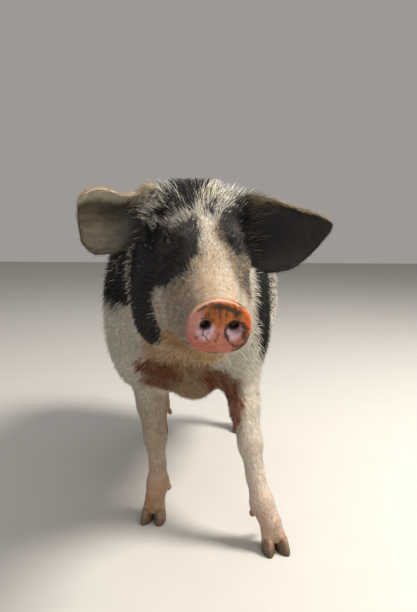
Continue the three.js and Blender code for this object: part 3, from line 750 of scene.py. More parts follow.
def settled(p, rounds, most=1.6):
    """Points moved along the field's slope until they lie on the surface."""
    p = p.copy()
    for _ in range(rounds):
        value, way = slope(p)
        steep = np.maximum((way * way).sum(1), 0.3)
        move = -(value / steep)[:, None] * way
        size = np.linalg.norm(move, axis=1, keepdims=True)
        p += move * np.minimum(1, most / np.maximum(size, 1e-9))
    return p


def neighbours(faces, count):
    """Both ends of every edge, each way round, and how many edges each point has."""
    n = faces.shape[1]
    edges = np.concatenate([faces[:, [i, (i + 1) % n]] for i in range(n)])
    edges = np.unique(np.sort(edges, 1) @ np.array([count, 1], np.int64))
    a, b = np.divmod(edges, count)
    ends = np.concatenate([np.stack([a, b], 1), np.stack([b, a], 1)])
    return ends, np.bincount(ends[:, 0], minlength=count)


def point_normals(p, faces):
    """Normals of the points, each the sum of the faces round it by their size."""
    a, b, c = (p[faces[:, n]] for n in (0, 1, 2))
    across = np.cross(b - a, c - a)
    total = np.zeros_like(p)
    for n in range(faces.shape[1]):
        total += np.stack([np.bincount(faces[:, n], across[:, m], len(p)) for m in range(3)], 1)
    return unit(total)


def relaxed(p, faces, rounds, share=0.5):
    """Points slid along the surface towards the middle of their neighbours, to even out the mesh."""
    ends, degree = neighbours(faces, len(p))
    for _ in range(rounds):
        middle = np.stack([np.bincount(ends[:, 0], p[ends[:, 1], n], len(p)) for n in range(3)], 1)
        move = middle / degree[:, None] - p
        normal = point_normals(p, faces)
        p = p + share * (move - (move * normal).sum(1, keepdims=True) * normal)
    return p


def detail_size(p):
    """How long an edge of the skin may be, mm: short at the eyes, the nostrils, the disc and the lips."""
    longest, on_disc, on_lip, by_nostril, by_lid = 9.0, 2.3, 1.7, 1.6, 0.95
    q = to_head(p)
    size = np.full(len(p), longest)
    for s in SIDES.values():
        far = np.linalg.norm(q - np.array(EYE["at"]) * (s, 1, 1), axis=1)
        size = np.minimum(size, np.interp(far, [13, 18, 34], [by_lid, 1.6, longest]))
        pit = np.linalg.norm(q - (15.5 * s, 4, -1), axis=1)
        size = np.minimum(size, np.interp(pit, [12, 18, 30], [by_nostril, 2.2, longest]))
    x, b, z = q.T
    front = (b < 22) & (np.abs(x) < 60) & (np.abs(z) < 60)
    size = np.where(front, np.minimum(size, on_disc), size)
    lip = np.abs(z - mouth_level(b))
    lip = np.where((b < 112) & (np.abs(x) < 70), lip, FAR)
    return np.minimum(size, np.interp(lip, [3, 9], [on_lip, longest]))


def refined(p, tris, rounds):
    """Edges that are too long are halved, and their triangles divided to fit."""
    for _ in range(rounds):
        count = len(p)
        edges = np.stack([tris, np.roll(tris, -1, 1)], -1)
        low, high = edges.min(-1), edges.max(-1)
        keys, place = np.unique((low * count + high).ravel(), return_inverse=True)
        place = place.reshape(tris.shape)
        a, b = np.divmod(keys, count)
        middle = (p[a] + p[b]) / 2
        split = np.linalg.norm(p[a] - p[b], axis=1) > 1.35 * detail_size(middle)
        if not split.any():
            break
        number = np.full(len(keys), -1)
        number[split] = count + np.arange(split.sum())
        p = np.concatenate([p, middle[split]])
        mark = number[place]
        cut = (mark >= 0).sum(1)
        out = [tris[cut == 0]]
        for many, first in ((1, lambda m: m[:, 0] >= 0), (2, lambda m: (m[:, 0] >= 0) & (m[:, 1] >= 0))):
            t, m = tris[cut == many], mark[cut == many]
            for _ in range(2):
                turn = ~first(m)
                t[turn], m[turn] = np.roll(t[turn], -1, 1), np.roll(m[turn], -1, 1)
            (a, b, c), (ab, bc, _) = t.T, m.T
            if many == 1:
                out += [np.stack([a, ab, c], 1), np.stack([ab, b, c], 1)]
            else:
                out += [np.stack([ab, b, bc], 1), np.stack([a, ab, bc], 1), np.stack([a, bc, c], 1)]
        (a, b, c), (ab, bc, ca) = tris[cut == 3].T, mark[cut == 3].T
        out += [np.stack(t, 1) for t in ((a, ab, ca), (ab, b, bc), (ca, bc, c), (ab, bc, ca))]
        tris = np.concatenate(out)
    return p, tris


FOOT_REACH = 70  # all of a foot's rim lies this near its middle, and no other foot's does


def closed(p, tris):
    """The open end of the skin at each foot, hidden in the claws, filled round its middle."""
    edges = np.concatenate([tris[:, [0, 1]], tris[:, [1, 2]], tris[:, [2, 0]]])
    there, back = edges @ np.array([len(p), 1]), edges[:, ::-1] @ np.array([len(p), 1])
    rim = edges[~np.isin(there, back)]
    for joints in LEGS.values():
        foot = np.array(min(joints, key=lambda joint: joint[2]))
        ring = rim[np.linalg.norm(p[rim[:, 0], :2] - foot[:2], axis=1) < FOOT_REACH]
        middle = np.full(len(ring), len(p))
        p = np.concatenate([p, p[ring[:, 0]].mean(0, keepdims=True)])
        tris = np.concatenate([tris, np.stack([ring[:, 1], ring[:, 0], middle], 1)])
    return p, tris


SKIN_GRID = (  # across, along and up: where each stretch starts and its cells' size, then the end
    ((-232, 4.1), 250),
    ((-482, 3.0), (-360, 3.4), (-215, 4.4), (-150, 6.5), (70, 10), (385, 6.5), (585, 4), 700),
    ((10, 5.0), (240, 4.1), 690),
)


def make_skin():
    """The skin as a mesh: nets on a grid, settled on the field, then made finer where it has detail."""
    points, quads = nets(*[stations(*parts) for parts in SKIN_GRID], swell=2.3)
    points = settled(points, 2)
    points = settled(relaxed(points, quads, 2), 2)
    tris = np.concatenate([quads[:, :3], quads[:, [0, 2, 3]]])
    for _ in range(2):
        points, tris = refined(points, tris, 1)
        points = settled(relaxed(points, tris, 1, 0.35), 2)
    points = settled(relaxed(points, tris, 1, 0.4), 2, 0.8)
    return closed(points, tris)


skin_points, skin_tris = make_skin()
skin_normals = point_normals(skin_points, skin_tris)


# ---------- markings ----------
PINK = np.array((0.50, 0.33, 0.255))
SLATE = np.array((0.020, 0.019, 0.021))
BLUE = np.array((0.20, 0.205, 0.225))
WHITE_HAIR = np.array((0.63, 0.605, 0.53))
BLACK_HAIR = np.array((0.011, 0.0105, 0.011))
TAN_HAIR = np.array((0.46, 0.36, 0.23))
CHIN_HAIR = np.array((0.40, 0.205, 0.060))
# straw dust; on the right legs also painted shade
STRAW_DUST_AND_SHADE = np.array((0.285, 0.205, 0.125))
# earth; also painted shade in the mouth's slit, under the snout disc and on the right feet
EARTH_AND_SHADE = np.array((0.17, 0.085, 0.042))
RUST = np.array((0.17, 0.052, 0.020))
OLIVE = np.array((0.235, 0.140, 0.066))
DULL_CHEEK = np.array((0.075, 0.060, 0.048))
WARM_LEG = np.array((0.56, 0.32, 0.235))
# painted shade deep in the nostrils
NOSTRIL_SHADE = np.array((0.014, 0.005, 0.004))
LASH = (0.09, 0.07, 0.052)
DARKEST = 0.004  # no channel of a colour is below this
# Right ear: dark and brown are partly its colour and partly painted shade; rim and back_high are partly pale
# hair, partly painted highlight.
EAR_COLOURS = {
    "dark": np.array((0.036, 0.029, 0.019)), "brown": np.array((0.115, 0.092, 0.058)),
    "rim": np.array((0.62, 0.54, 0.42)), "back_low": np.array((0.12, 0.09, 0.062)),
    "back_high": np.array((0.38, 0.31, 0.23)), "left_inside": np.array((0.13, 0.095, 0.065)),
}
# Of these, the purple and the near-black by the nostrils are painted shade, and the pale rim colour a painted
# highlight on the disc's top.
DISC_COLOURS = {
    "flesh": np.array((0.42, 0.155, 0.11)), "deep": np.array((0.30, 0.085, 0.05)),
    "pale": np.array((0.50, 0.27, 0.25)), "nostril_edge": np.array((0.56, 0.39, 0.43)),
    "nostril_shade_ring": np.array((0.045, 0.017, 0.023)), "cake": np.array((0.47, 0.145, 0.034)),
    "cake_rust": np.array((0.21, 0.062, 0.018)), "red_edge": np.array((0.60, 0.085, 0.030)),
    "nostril_shadow": np.array((0.16, 0.065, 0.085)), "rim": np.array((0.62, 0.46, 0.36)),
}
# dirt on the snout disc, seen from in front: half width, then the line it follows across and up
DISC_DIRT = (
    (3.4, (-6, 25), (2, 23), (9, 22)),
    (3.0, (10, 20), (15, 18), (22, 16)),
    (1.6, (16, 20), (19, 11)),
    (1.5, (-28, 18), (-21, 23), (-12, 28)),
    (0.7, (-18, 17), (-18, 9)),
    (1.4, (-1, 16), (0, 11)),
    (0.8, (-23, 8), (-17, 9.5), (-11, 8), (-6, 3)),
    (2.2, (10, -15), (7.5, -8), (10, 0), (18, 5), (27, 4), (33, -4)),
    (3.4, (31, -8), (33, -14)),
    (3.4, (38, -12), (35, -20), (28, -28), (20, -33)),
    (1.6, (0, -11), (-2, -15), (-4, -19)),
    (1.3, (10, -15), (14, -21), (20, -26)),
    (0.8, (-29, -15), (-20, -13), (-19, -7)),
    (1.3, (-14, -22), (-15, -23)),
    (0.8, (-19, -12), (-12, -20)),
    (1.3, (-16, -34), (0, -36), (18, -35)),
)
# where the legs rub the brisket: middles and radii of the red-brown skin, and of the olive above it
CHEST_RUST = (
    ((-42, -100, 318), (36, 60, 30)), ((-50, -70, 286), (26, 50, 26)),
    ((58, -84, 300), (30, 60, 32)), ((82, -72, 262), (24, 50, 36)), ((88, -74, 224), (14, 40, 28)),
)
CHEST_OLIVE = (6, -95, 306), (52, 74, 56)
BIB = (4, -150, 365), (70, 50, 46)  # the orange hair under the throat

# Outlines of the black marks. On the head they are seen from in front, as places across and up in
# its frame; on the body from the side, as places along and up. Then how far along they hold.
HEAD_MARKS = {
    "right_face": [
        (-11, 98), (-10, 87), (-9, 73), (-14, 60), (-23, 48), (-30, 38), (-40, 24), (-53, 10), (-62, 2),
        (-65, -12), (-61, -27), (-56, -44), (-54, -67), (-56, -86), (-80, -98), (-130, -60), (-130, 80),
        (-68, 78), (-51, 89), (-32, 97),
    ],
    "crest": [
        (-15, 109), (-34, 103), (-53, 96), (-66, 88), (-68, 95), (-52, 106), (-34, 122), (-24, 138),
        (-18, 160), (24, 160), (12, 140), (5, 129), (-5, 119),
    ],
    "brow": [(0, 117), (9, 120), (20, 115), (20, 106), (10, 104), (1, 109)],
    "left_eye": [
        (25, 110), (20, 97), (22, 86), (29, 78), (33, 67), (42, 56), (57, 48), (90, 45), (140, 55),
        (140, 118), (74, 103), (54, 112), (38, 114),
    ],
}
HEAD_MARK_REACH = {"right_face": (70, 330), "crest": (150, 300), "brow": (150, 215), "left_eye": (90, 330)}
CHEEK_ROAN = [
    (19, 98), (15, 89), (19, 79), (25, 66), (31, 53), (38, 36), (50, 18), (60, 6), (74, -12), (100, -14),
    (116, 50), (64, 54), (48, 66), (44, 82), (30, 90),
]
LEFT_MARKS = {
    "shoulder": [
        (-94, 522), (-108, 446), (-100, 398), (-74, 350), (-30, 338), (14, 356), (4, 420), (-14, 478),
        (-40, 530), (-70, 545),
    ],
    "rump": [(446, 450), (470, 402), (540, 410), (588, 470), (574, 540), (520, 590), (452, 640), (436, 520)],
    "loin": [(250, 590), (300, 560), (352, 572), (372, 640), (262, 640)],
}
RIGHT_MARKS = {
    "neck": [(-185, 450), (-97, 444), (-40, 452), (-8, 492), (2, 552), (-52, 606), (-185, 640)],
    "flank": [(206, 432), (232, 380), (300, 350), (372, 388), (396, 452), (350, 530), (282, 560), (222, 508)],
    "rump": [(486, 640), (470, 560), (520, 500), (578, 520), (600, 640)],
}
NECK_STREAK = {"along": -97, "up": 497, "round": 0.35, "half": 3.5}  # the white line in the neck's black
LEFT_ROAN = [(62, 398), (150, 384), (236, 398), (318, 462), (300, 556), (180, 566), (74, 540)]


def line_distance(a, b, line):
    """How far points lie from an open line."""
    least = np.full(len(a), 1e9)
    for (ax, ay), (bx, by) in zip(line, line[1:]):
        dx, dy = bx - ax, by - ay
        t = np.clip(((a - ax) * dx + (b - ay) * dy) / (dx * dx + dy * dy), 0, 1)
        least = np.minimum(least, np.hypot(a - ax - t * dx, b - ay - t * dy))
    return least


def outline_depth(a, b, outline):
    """How far points lie inside a closed outline, negative outside."""
    line = [*outline, outline[0]]
    inner = np.zeros(len(a), bool)
    for (ax, ay), (bx, by) in zip(line, line[1:]):
        crosses = (ay > b) != (by > b)
        inner ^= crosses & (a < ax + (bx - ax) * (b - ay) / (by - ay or 1e-9))
    least = line_distance(a, b, line)
    return np.where(inner, least, -least)


class EarPlaces:
    """Where points lie on the ears: side (0 off them), row and column, front or back, and hair's way."""

    def __init__(self, q):
        self.side = np.zeros(len(q), int)
        self.row, self.col = np.zeros(len(q), int), np.zeros(len(q), int)
        self.facing = np.zeros(len(q))  # over 0 on the front
        self.axis = np.zeros((len(q), 3))
        for ear in EAR_SHEETS.values():
            near = np.nonzero(ear.by(q))[0]
            far, half, i, j = ear.nearest(q[near], 9.0)
            on = (far < half + 2.5) & (ear.along[i] > 4)
            near, i, j = near[on], i[on], j[on]
            self.side[near], self.row[near], self.col[near] = ear.side, i, j
            self.facing[near] = ((q[near] - ear.centre[i, j]) * ear.normal[i, j]).sum(1)
            self.axis[near] = ear.axis[i, j]
        self.on = self.side != 0
        self.along = self.row / (Ear.ROWS - 1.0)  # 0 at the root, 1 at the tip
        self.across = self.col / (Ear.COLS - 2.0) * 2 - 1  # -1 at the lower edge, 1 at the upper


def mix(a, b, share):
    """Colour a with a share of colour b, 0 to 1."""
    return a + (b - a) * np.clip(share, 0, 1)[..., None]


def marks(p, q, ears):
    """Shares of black and of roan, 0 to 1."""
    x, b, high = q.T
    on_head = (b < 300) & (high > -115)
    behind = b > 285
    wobble = 3.2 * wave(p, 26, 31) + 1.4 * wave(p, 9, 32) + 9 * wave(p, 95, 33) * ramp(p[:, 1], 20, 120)
    depth = np.full(len(p), -99.0)  # how far inside a black mark
    for name, outline in HEAD_MARKS.items():
        start, end = HEAD_MARK_REACH[name]
        found = np.minimum(outline_depth(x, high, outline), np.minimum(b - start, end - b))
        depth = np.maximum(depth, np.where(on_head, found, -99))
    left = p[:, 0] > body_shift(p[:, 1])
    for sided, outlines in ((left, LEFT_MARKS), (~left, RIGHT_MARKS)):
        for outline in outlines.values():
            found = outline_depth(p[:, 1], p[:, 2], outline)
            depth = np.maximum(depth, np.where(sided & behind, found, -99))
    across, up = p[:, 1] - NECK_STREAK["along"], (p[:, 2] - NECK_STREAK["up"]) * NECK_STREAK["round"]
    streak = np.hypot(across, up) - NECK_STREAK["half"]
    depth = np.where(~left & behind, np.minimum(depth, streak), depth)
    depth = depth + wobble
    black = np.where(on_head, ramp(depth, -3.5, 5), ramp(depth, -2.5, 3))
    black = black * (1 - 0.17 * on_head * ramp(high, 96, 112))
    black = np.where(ears.side > 0, 1.0, black)
    black = np.where(ears.side < 0, np.where(ears.facing > 0, 0.8, 0.25), black)

    roan = ramp(outline_depth(x, high, CHEEK_ROAN) + wobble, -5, 5) * on_head * (x > 0)
    found = outline_depth(p[:, 1], p[:, 2], LEFT_ROAN) + 2 * wobble + 9 * wave(p, 60, 35)
    for more in (
        0.7 * ramp(depth, -11, -1) * on_head,
        0.15 * on_head * ramp(b, 150, 210) * ramp(high, 60, 90),
        ramp(found, -26, 18) * left * behind * (0.75 + 0.45 * wave(p, 42, 34)),
        0.75 * ramp(depth, -16, -2) * behind,
    ):
        roan = np.maximum(roan, more)
    return black, np.where(ears.on, 0, roan)


class Paint:
    """Colours of the skin and of the hair that grows from it, laid on in steps."""

    def __init__(self, p, q, ears):
        self.p, self.q, self.ears = p, q, ears
        self.black, self.roan = marks(p, q, ears)
        self.on_head = (q[:, 1] < 300) & (q[:, 2] > -125)
        self.cloud, self.speck = wave(p, 60, 41), wave(p, 11, 42)
        self.ground()
        self.on_ears()
        self.on_face()
        self.on_body()
        self.on_disc()
        self.shade_openings()
        self.finish()

    def stain(self, skin=None, hair=None):
        """Lays a colour over the skin and another over the hair, each with its share."""
        if skin:
            self.skin = mix(self.skin, *skin)
        if hair:
            self.hair = mix(self.hair, *hair)

    def ground(self):
        """Pink or slate skin with blue under the roan, the slate on the left of the face darker as painted
        shade, and white hair.
        """
        x, b, _ = self.q.T
        # painted shade: the slate on the left of the face made darker
        shaded_slate = SLATE * (1 - 0.45 * self.on_head * ramp(x, 15, 28))[:, None]
        self.skin = mix(mix(PINK, BLUE, self.roan), shaded_slate, self.black)
        hair = mix(WHITE_HAIR, TAN_HAIR, 0.10 + 0.12 * self.cloud)
        self.hair = hair * (1 - 0.17 * self.on_head * bump(b, 104, 42) * (x > -45))[:, None]

    def on_ears(self):
        """The right ear brown and painted shade inside, its upper edge pale hair and painted highlight; the
        left one black.
        """
        ears, tints = self.ears, EAR_COLOURS
        along, across = ears.along, ears.across
        right, left = ears.side < 0, ears.side > 0
        inner = right & (ears.facing > 0)
        streak = wave(np.stack([across * 60, along * 24, 0 * along], 1), 9, 43)
        # partly pale hair and partly a painted highlight along the rolled upper rim
        lit_top_rim = ramp(across, 0.36, 0.66)
        brown = mix(tints["dark"], tints["brown"], 0.35 + 0.40 * streak)
        # painted shade: the inside darker towards the lower edge
        brown = brown * (0.88 - 0.5 * ramp(-across, 0.2, 0.8))[:, None]
        brown = mix(brown, tints["rim"], 0.95 * lit_top_rim)
        # the back lighter towards the upper edge: partly paler hair, partly a painted highlight on the rolled
        # rim
        outer = mix(tints["back_low"], tints["back_high"], ramp(across, -0.2, 0.6))
        inner_hair = mix(brown * 1.1, WHITE_HAIR * 0.9, 0.05 + 0.9 * lit_top_rim)
        ear_hair = np.where((ears.facing < 0)[:, None], mix(outer, TAN_HAIR, 0.4), inner_hair)
        self.skin = np.where(inner[:, None], brown, self.skin)
        self.skin = np.where((right & ~inner)[:, None], outer, self.skin)
        self.hair = np.where(right[:, None], ear_hair, self.hair)
        # painted shade in the cupped base of the ear's inside
        hidden = inner * ramp(-along, -0.74, -0.42) * ramp(-across, -0.55, -0.2)
        self.stain((SLATE * 0.8, hidden * 0.92), (SLATE, hidden * 0.85))

        tan = left & (ears.facing > 0)
        tan = tan * (0.30 + 0.35 * streak) * ramp(-along, -0.75, -0.25) * ramp(across, 0.0, 0.7)
        self.stain((tints["left_inside"], tan))
        self.hair = np.where(left[:, None], mix(BLACK_HAIR * 1.4, EARTH_AND_SHADE, 0.5 * tan), self.hair)
        # painted highlight: a tan line along the black ear's upper edge
        rim = left * ramp(across, 0.90, 0.99)
        self.stain((TAN_HAIR * 0.5, 0.6 * rim), (TAN_HAIR, 0.8 * rim))

    def on_face(self):
        """A dull left cheek, straw dust on the muzzle, an orange beard and a grey patch."""
        x, b, z = self.q.T
        on_head, cloud, speck, bare = self.on_head, self.cloud, self.speck, 1 - self.black
        cheek = ramp(outline_depth(x, z, CHEEK_ROAN), -9, 2) * on_head * (x > 0) * ~self.ears.on
        self.stain((DULL_CHEEK, 0.8 * cheek * bare), (TAN_HAIR * 0.42, 0.80 * cheek))
        muzzle = on_head * ramp(-b, -225, -60) * (1.0 + 0.2 * cloud + 0.25 * speck)
        muzzle = muzzle * (0.70 + 0.30 * ramp(-x, -24, 30))
        under = on_head * ramp(-z, 20, 62) * ramp(-b, -210, -120) * (0.65 + 0.3 * cloud)
        dust = np.maximum(muzzle, under) * (1 - 0.75 * self.black)
        self.stain((STRAW_DUST_AND_SHADE, 0.8 * dust), (STRAW_DUST_AND_SHADE, 0.92 * dust))
        beard = on_head * ramp(-z, 34, 58) * ramp(-b, -175, -95)
        beard = beard * (1 - 0.85 * self.black) * (0.85 + 0.25 * cloud)
        self.stain((CHIN_HAIR * 0.8, 0.9 * beard), (CHIN_HAIR, beard))
        grey = on_head * bump(x, -36, 17) * bump(z, -10, 40) * ramp(-b, -145, -100) * bare
        self.stain((SLATE * 5, 0.4 * grey), (SLATE * 6, 0.45 * grey))

    def on_body(self):
        """The orange bib, rubbed skin at the brisket, and dirt on the legs and feet, with painted shade on
        the right legs.
        """
        p, cloud, speck, off_head = self.p, self.cloud, self.speck, ~self.on_head
        height, right = p[:, 2], p[:, 0] < 0
        bib = ramp(-ellipsoid(p, *BIB) + 10 * cloud, -16, 10) * off_head
        self.stain((CHIN_HAIR, 0.6 * bib), (CHIN_HAIR * 1.05, 0.66 * bib))
        olive = ramp(-ellipsoid(p, *CHEST_OLIVE) + 8 * cloud, -9, 6) * off_head
        self.stain((OLIVE * 0.8, 0.75 * olive), (OLIVE, 0.85 * olive))
        rub = np.zeros(len(p))
        for centre, radii in CHEST_RUST:
            rub = np.maximum(rub, ramp(-ellipsoid(p, centre, radii) + 7 * cloud + 5 * speck, -7, 6))
        self.rub = rub * off_head
        self.stain((RUST * (0.9, 0.8, 0.75), self.rub * (0.9 + 0.3 * speck)),
                   (RUST, self.rub * (0.95 + 0.2 * speck)))
        low = ramp(-height, -330, -90) * off_head
        self.stain((WARM_LEG, 0.6 * low * (1 - self.black)))
        # straw dust on the shanks; the right legs take far more, as painted shade
        shank = ramp(-height, -330, -170) * off_head * np.where(right, 0.60, 0.10)
        self.stain((STRAW_DUST_AND_SHADE, shank), (STRAW_DUST_AND_SHADE, shank))
        # earth on the feet; the right feet take more, as painted shade
        foot = ramp(-height, -120, -22) * off_head * (0.6 + 0.3 * speck + 0.2 * cloud)
        foot = foot * np.where(right, 1.3, 1)
        self.stain((EARTH_AND_SHADE * 1.7, 0.75 * foot), (EARTH_AND_SHADE * 2.3, 0.7 * foot))

    def on_disc(self):
        """The snout disc: pink below, caked with orange earth above, dark specks along its cracks, with
        painted shade and highlight.
        """
        x, b, z = self.q.T
        tints, flat = DISC_COLOURS, self.q * (1, 0, 1)
        self.disc = ramp(-b, -17, -12) * (b < 30) * self.on_head
        flesh = mix(tints["flesh"], tints["deep"], 0.4 + 0.5 * wave(self.p, 30, 59) + 0.4 * ramp(-x, 14, 34))
        flesh = mix(flesh, tints["pale"], 0.7 * bump(x, -26, 12) * bump(z, 2, 18))
        hole = np.hypot(np.abs(x) - 17, (z + 5) * 0.85)
        flesh = mix(flesh, tints["nostril_edge"], 0.9 * ramp(-hole, -14, -8) * ramp(-z, -4, 4))

        edge = -6 + np.where(x < 0, -0.95 * x, 0.3 * np.minimum(x, 15)) - 12 * ramp(x, 28, 36)
        cake = ramp(z - edge + 3 * wave(flat, 20, 51), -2.5, 3.5)
        rusty = 0.5 + 0.5 * wave(flat * (1, 1, 0.3), 9, 52)
        flesh = mix(flesh, mix(tints["cake"], tints["cake_rust"], 0.75 * rusty), 0.95 * cake)
        streak = wave(flat * (1.9, 1, 0.5), 9, 53) + 0.5 * wave(flat, 22, 54)
        flesh = flesh * (1 - 0.55 * cake * ramp(streak, 0.1, 1.0))[:, None]

        out = np.hypot(x / 39, np.where(z > 0, z / 31, z / 35))  # 1 at the rim
        red = bump(out, 0.93, 0.12) * ramp(x, 20, 32) * bump(z, 3, 16)
        flesh = mix(flesh, tints["red_edge"], 0.9 * red)
        # painted shadow beside each nostril
        shade = sum(
            ramp(-np.hypot((x - at_x) * narrow, z - at_z), -9, -3)
            for at_x, at_z, narrow in ((-20, -2, 0.8), (21, -4, 0.75))
        )
        flesh = mix(flesh, tints["nostril_shadow"], 0.75 * shade)
        dirt = np.zeros(len(x))
        on = np.nonzero(self.disc > 0)[0]
        rough = 1.1 * wave(flat[on], 5, 55) + 0.9 * wave(flat[on], 12, 56)
        for half, *line in DISC_DIRT:
            far = line_distance(x[on], z[on], line) + rough * min(half, 2.2) * 0.45
            dirt[on] = np.maximum(dirt[on], 0.92 * ramp(-far, -1.35 * half, -0.6 * half))
        grime = ramp(out, 0.80, 0.95) * ramp(x, 12, 24) * ramp(-z, 2, 12) * ramp(wave(flat, 8, 57), -0.8, 0.4)
        crack = bump(wave(flat, 26, 60), 0, 0.05) * ramp(-z, -4, 4) * ramp(wave(flat, 24, 58), -0.2, 0.4)
        dirt = np.maximum.reduce([dirt, 0.9 * grime, 0.7 * crack])
        flesh = mix(flesh, EARTH_AND_SHADE * (0.26, 0.32, 0.36), dirt)
        # painted shade in a ring round each nostril
        ring = ramp(-np.hypot(np.abs(x) - 17, z), -9, -5.5)
        flesh = mix(flesh, tints["nostril_shade_ring"], 0.9 * ring)
        # painted highlight along the top of the rim
        rim_highlight = bump(out, 0.985, 0.03) * ramp(z, 6, 18) * ramp(-x, -20, 0)
        flesh = mix(flesh, tints["rim"], 0.75 * rim_highlight)
        # painted shadow under the snout disc
        below = bump(b, 18, 5) * ramp(-z, 16, 26) * self.on_head
        self.stain((EARTH_AND_SHADE * 0.4, 0.8 * below), (EARTH_AND_SHADE * 0.5, 0.7 * below))
        self.stain((flesh, self.disc))

    def shade_openings(self):
        """Painted shade in the hollows: along the mouth's slit, deep in the nostrils and round the lids."""
        q = self.q
        _, b, z = q.T
        # painted shade along the mouth's slit
        lip = bump(z - mouth_level(b), 0, 1.5) * self.on_head * ramp(b, 12, 18) * ramp(-b, -112, -104)
        self.stain((EARTH_AND_SHADE * 0.35, lip * 0.9))
        self.pit = np.zeros(len(q))
        near = inside(q, *BOXES["nostrils"])
        for s in SIDES.values():
            deep = ramp(-nostril(q[near], s), -2.2, 0.4) * ramp(b[near], 0.5, 4)
            self.pit[near] = np.maximum(self.pit[near], deep)
        # painted shade deep in the nostrils
        self.stain((NOSTRIL_SHADE, self.pit))
        # painted shade round the eyes, over the lids
        for s in SIDES.values():
            far, _, _, out = eye_place(q, s)
            self.stain((SLATE * 0.6, ramp(-far, -17, -13) * ramp(out, 3, 6) * 0.9))

    def finish(self):
        """The skin takes on the mean colour of the hair over it, and both vary a little."""
        off_ears = ~self.ears.on
        thick = np.interp(self.p[:, 2], [30, 110, 240], [0.35, 0.58, 0.74])
        on_face = np.interp(self.q[:, 1], [14, 40, 110], [0.35, 0.62, 0.74])
        thick = np.where(off_ears, np.where(self.on_head, on_face, thick), 0.25)
        mean_hair = mix(self.hair, BLACK_HAIR * 1.6, np.maximum(self.black * off_ears, 0.5 * self.roan))
        self.stain((mean_hair, thick * (1 - np.maximum(self.disc, self.pit)) * (1 - self.rub)))
        self.wet = self.disc * (1 - self.pit)
        self.skin = np.clip(self.skin * (1 + 0.10 * self.speck + 0.08 * self.cloud)[:, None], DARKEST, 1)
        self.hair = np.clip(self.hair * (1 + 0.06 * self.cloud)[:, None], DARKEST, 1)


# ---------- materials ----------
class Nodes:
    """A material's node tree, built call by call."""

    def __init__(self, name):
        self.material = bpy.data.materials.new(name)
        self.material.use_nodes = True
        self.tree = self.material.node_tree
        self.shader = self.tree.nodes["Principled BSDF"]

    def add(self, kind, settings=None, **properties):
        """A new node, with its inputs set by settings and its own properties by name."""
        node = self.tree.nodes.new(kind)
        for key, value in (settings or {}).items():
            node.inputs[key].default_value = value
        for key, value in properties.items():
            setattr(node, key, value)
        return node

    def link(self, a, b):
        self.tree.links.new(a, b)

    def shade(self, key, value):
        """Gives the shader's input an output of another node."""
        self.link(value, self.shader.inputs[key])

    def constants(self, **values):
        """Sets inputs of the shader that are the same all over."""
        for key, value in values.items():
            self.shader.inputs[key.replace("_", " ")].default_value = value

    def attribute(self, name, output):
        return self.add("ShaderNodeAttribute", attribute_name=name).outputs[output]

    def place(self):
        return self.add("ShaderNodeTexCoord").outputs["Object"]

    def coords(self, scale=(1, 1, 1)):
        mapping = self.add("ShaderNodeMapping", {"Scale": scale})
        self.link(self.place(), mapping.inputs["Vector"])
        return mapping.outputs["Vector"]

    def axes(self):
        """The place's X, Y and Z."""
        split = self.add("ShaderNodeSeparateXYZ")
        self.link(self.place(), split.inputs[0])
        return split.outputs

    def noise(self, scale, detail=3.0, stretch=(1, 1, 1)):
        node = self.add("ShaderNodeTexNoise", {"Scale": scale, "Detail": detail})
        self.link(self.coords(stretch), node.inputs["Vector"])
        return node.outputs["Fac"]

    def cells(self, scale, feature, stretch=(1, 1, 1)):
        node = self.add("ShaderNodeTexVoronoi", {"Scale": scale}, feature=feature)
        self.link(self.coords(stretch), node.inputs["Vector"])
        return node.outputs["Distance"]

    def span(self, value, low, high):
        """A 0 to 1 value brought to low..high."""
        node = self.add("ShaderNodeMapRange", {"To Min": low, "To Max": high})
        self.link(value, node.inputs["Value"])
        return node.outputs["Result"]

    def times(self, colour, factor):
        """A colour made lighter or darker by a factor."""
        node = self.add("ShaderNodeVectorMath", operation="SCALE")
        self.link(colour, node.inputs[0])
        self.link(factor, node.inputs["Scale"])
        return node.outputs["Vector"]

    def scaled_plus(self, value, factor, more):
        """A value times a plain factor, plus another value."""
        node = self.add("ShaderNodeMath", {1: factor}, operation="MULTIPLY_ADD")
        self.link(value, node.inputs[0])
        self.link(more, node.inputs[2])
        return node.outputs[0]

    def stops(self, value, first, last, *between):
        """A colour by value, from (position, red, green, blue) stops."""
        node = self.add("ShaderNodeValToRGB")
        elements = node.color_ramp.elements
        for element, (position, *colour) in zip(list(elements), (first, last)):
            element.position, element.color = position, (*colour, 1)
        for position, *colour in between:
            elements.new(position).color = (*colour, 1)
        self.link(value, node.inputs["Fac"])
        return node.outputs["Color"]

    def bump(self, height, strength, distance, after=None):
        """Fine relief, over the relief before it."""
        node = self.add("ShaderNodeBump", {"Strength": strength, "Distance": distance})
        self.link(height, node.inputs["Height"])
        if after is not None:
            self.link(after, node.inputs["Normal"])
        return node.outputs["Normal"]


def skin_material():
    """Painted skin with pores, fine creases and short hair too fine to be tufts; glossier where wet."""
    m = Nodes("pig_skin")
    colour = m.times(m.attribute("Mark", "Color"), m.span(m.noise(420, 4), 0.80, 1.16))
    m.shade("Base Color", m.times(colour, m.span(m.noise(900, 2, (1, 0.12, 1)), 0.86, 1.12)))
    m.shade("Roughness", m.span(m.attribute("Wet", "Fac"), 0.72, 0.30))
    normal = m.bump(m.cells(620, "F1"), 0.35, 0.0006)
    normal = m.bump(m.cells(130, "DISTANCE_TO_EDGE", (1, 0.6, 1)), 0.18, 0.0010, normal)
    m.shade("Normal", m.bump(m.noise(800, 2, (1, 0.12, 1)), 0.35, 0.0007, normal))
    m.constants(Specular_IOR_Level=0.20, Subsurface_Weight=0.08, Subsurface_Scale=0.5,
                Subsurface_Radius=(0.006, 0.002, 0.001))
    return m.material


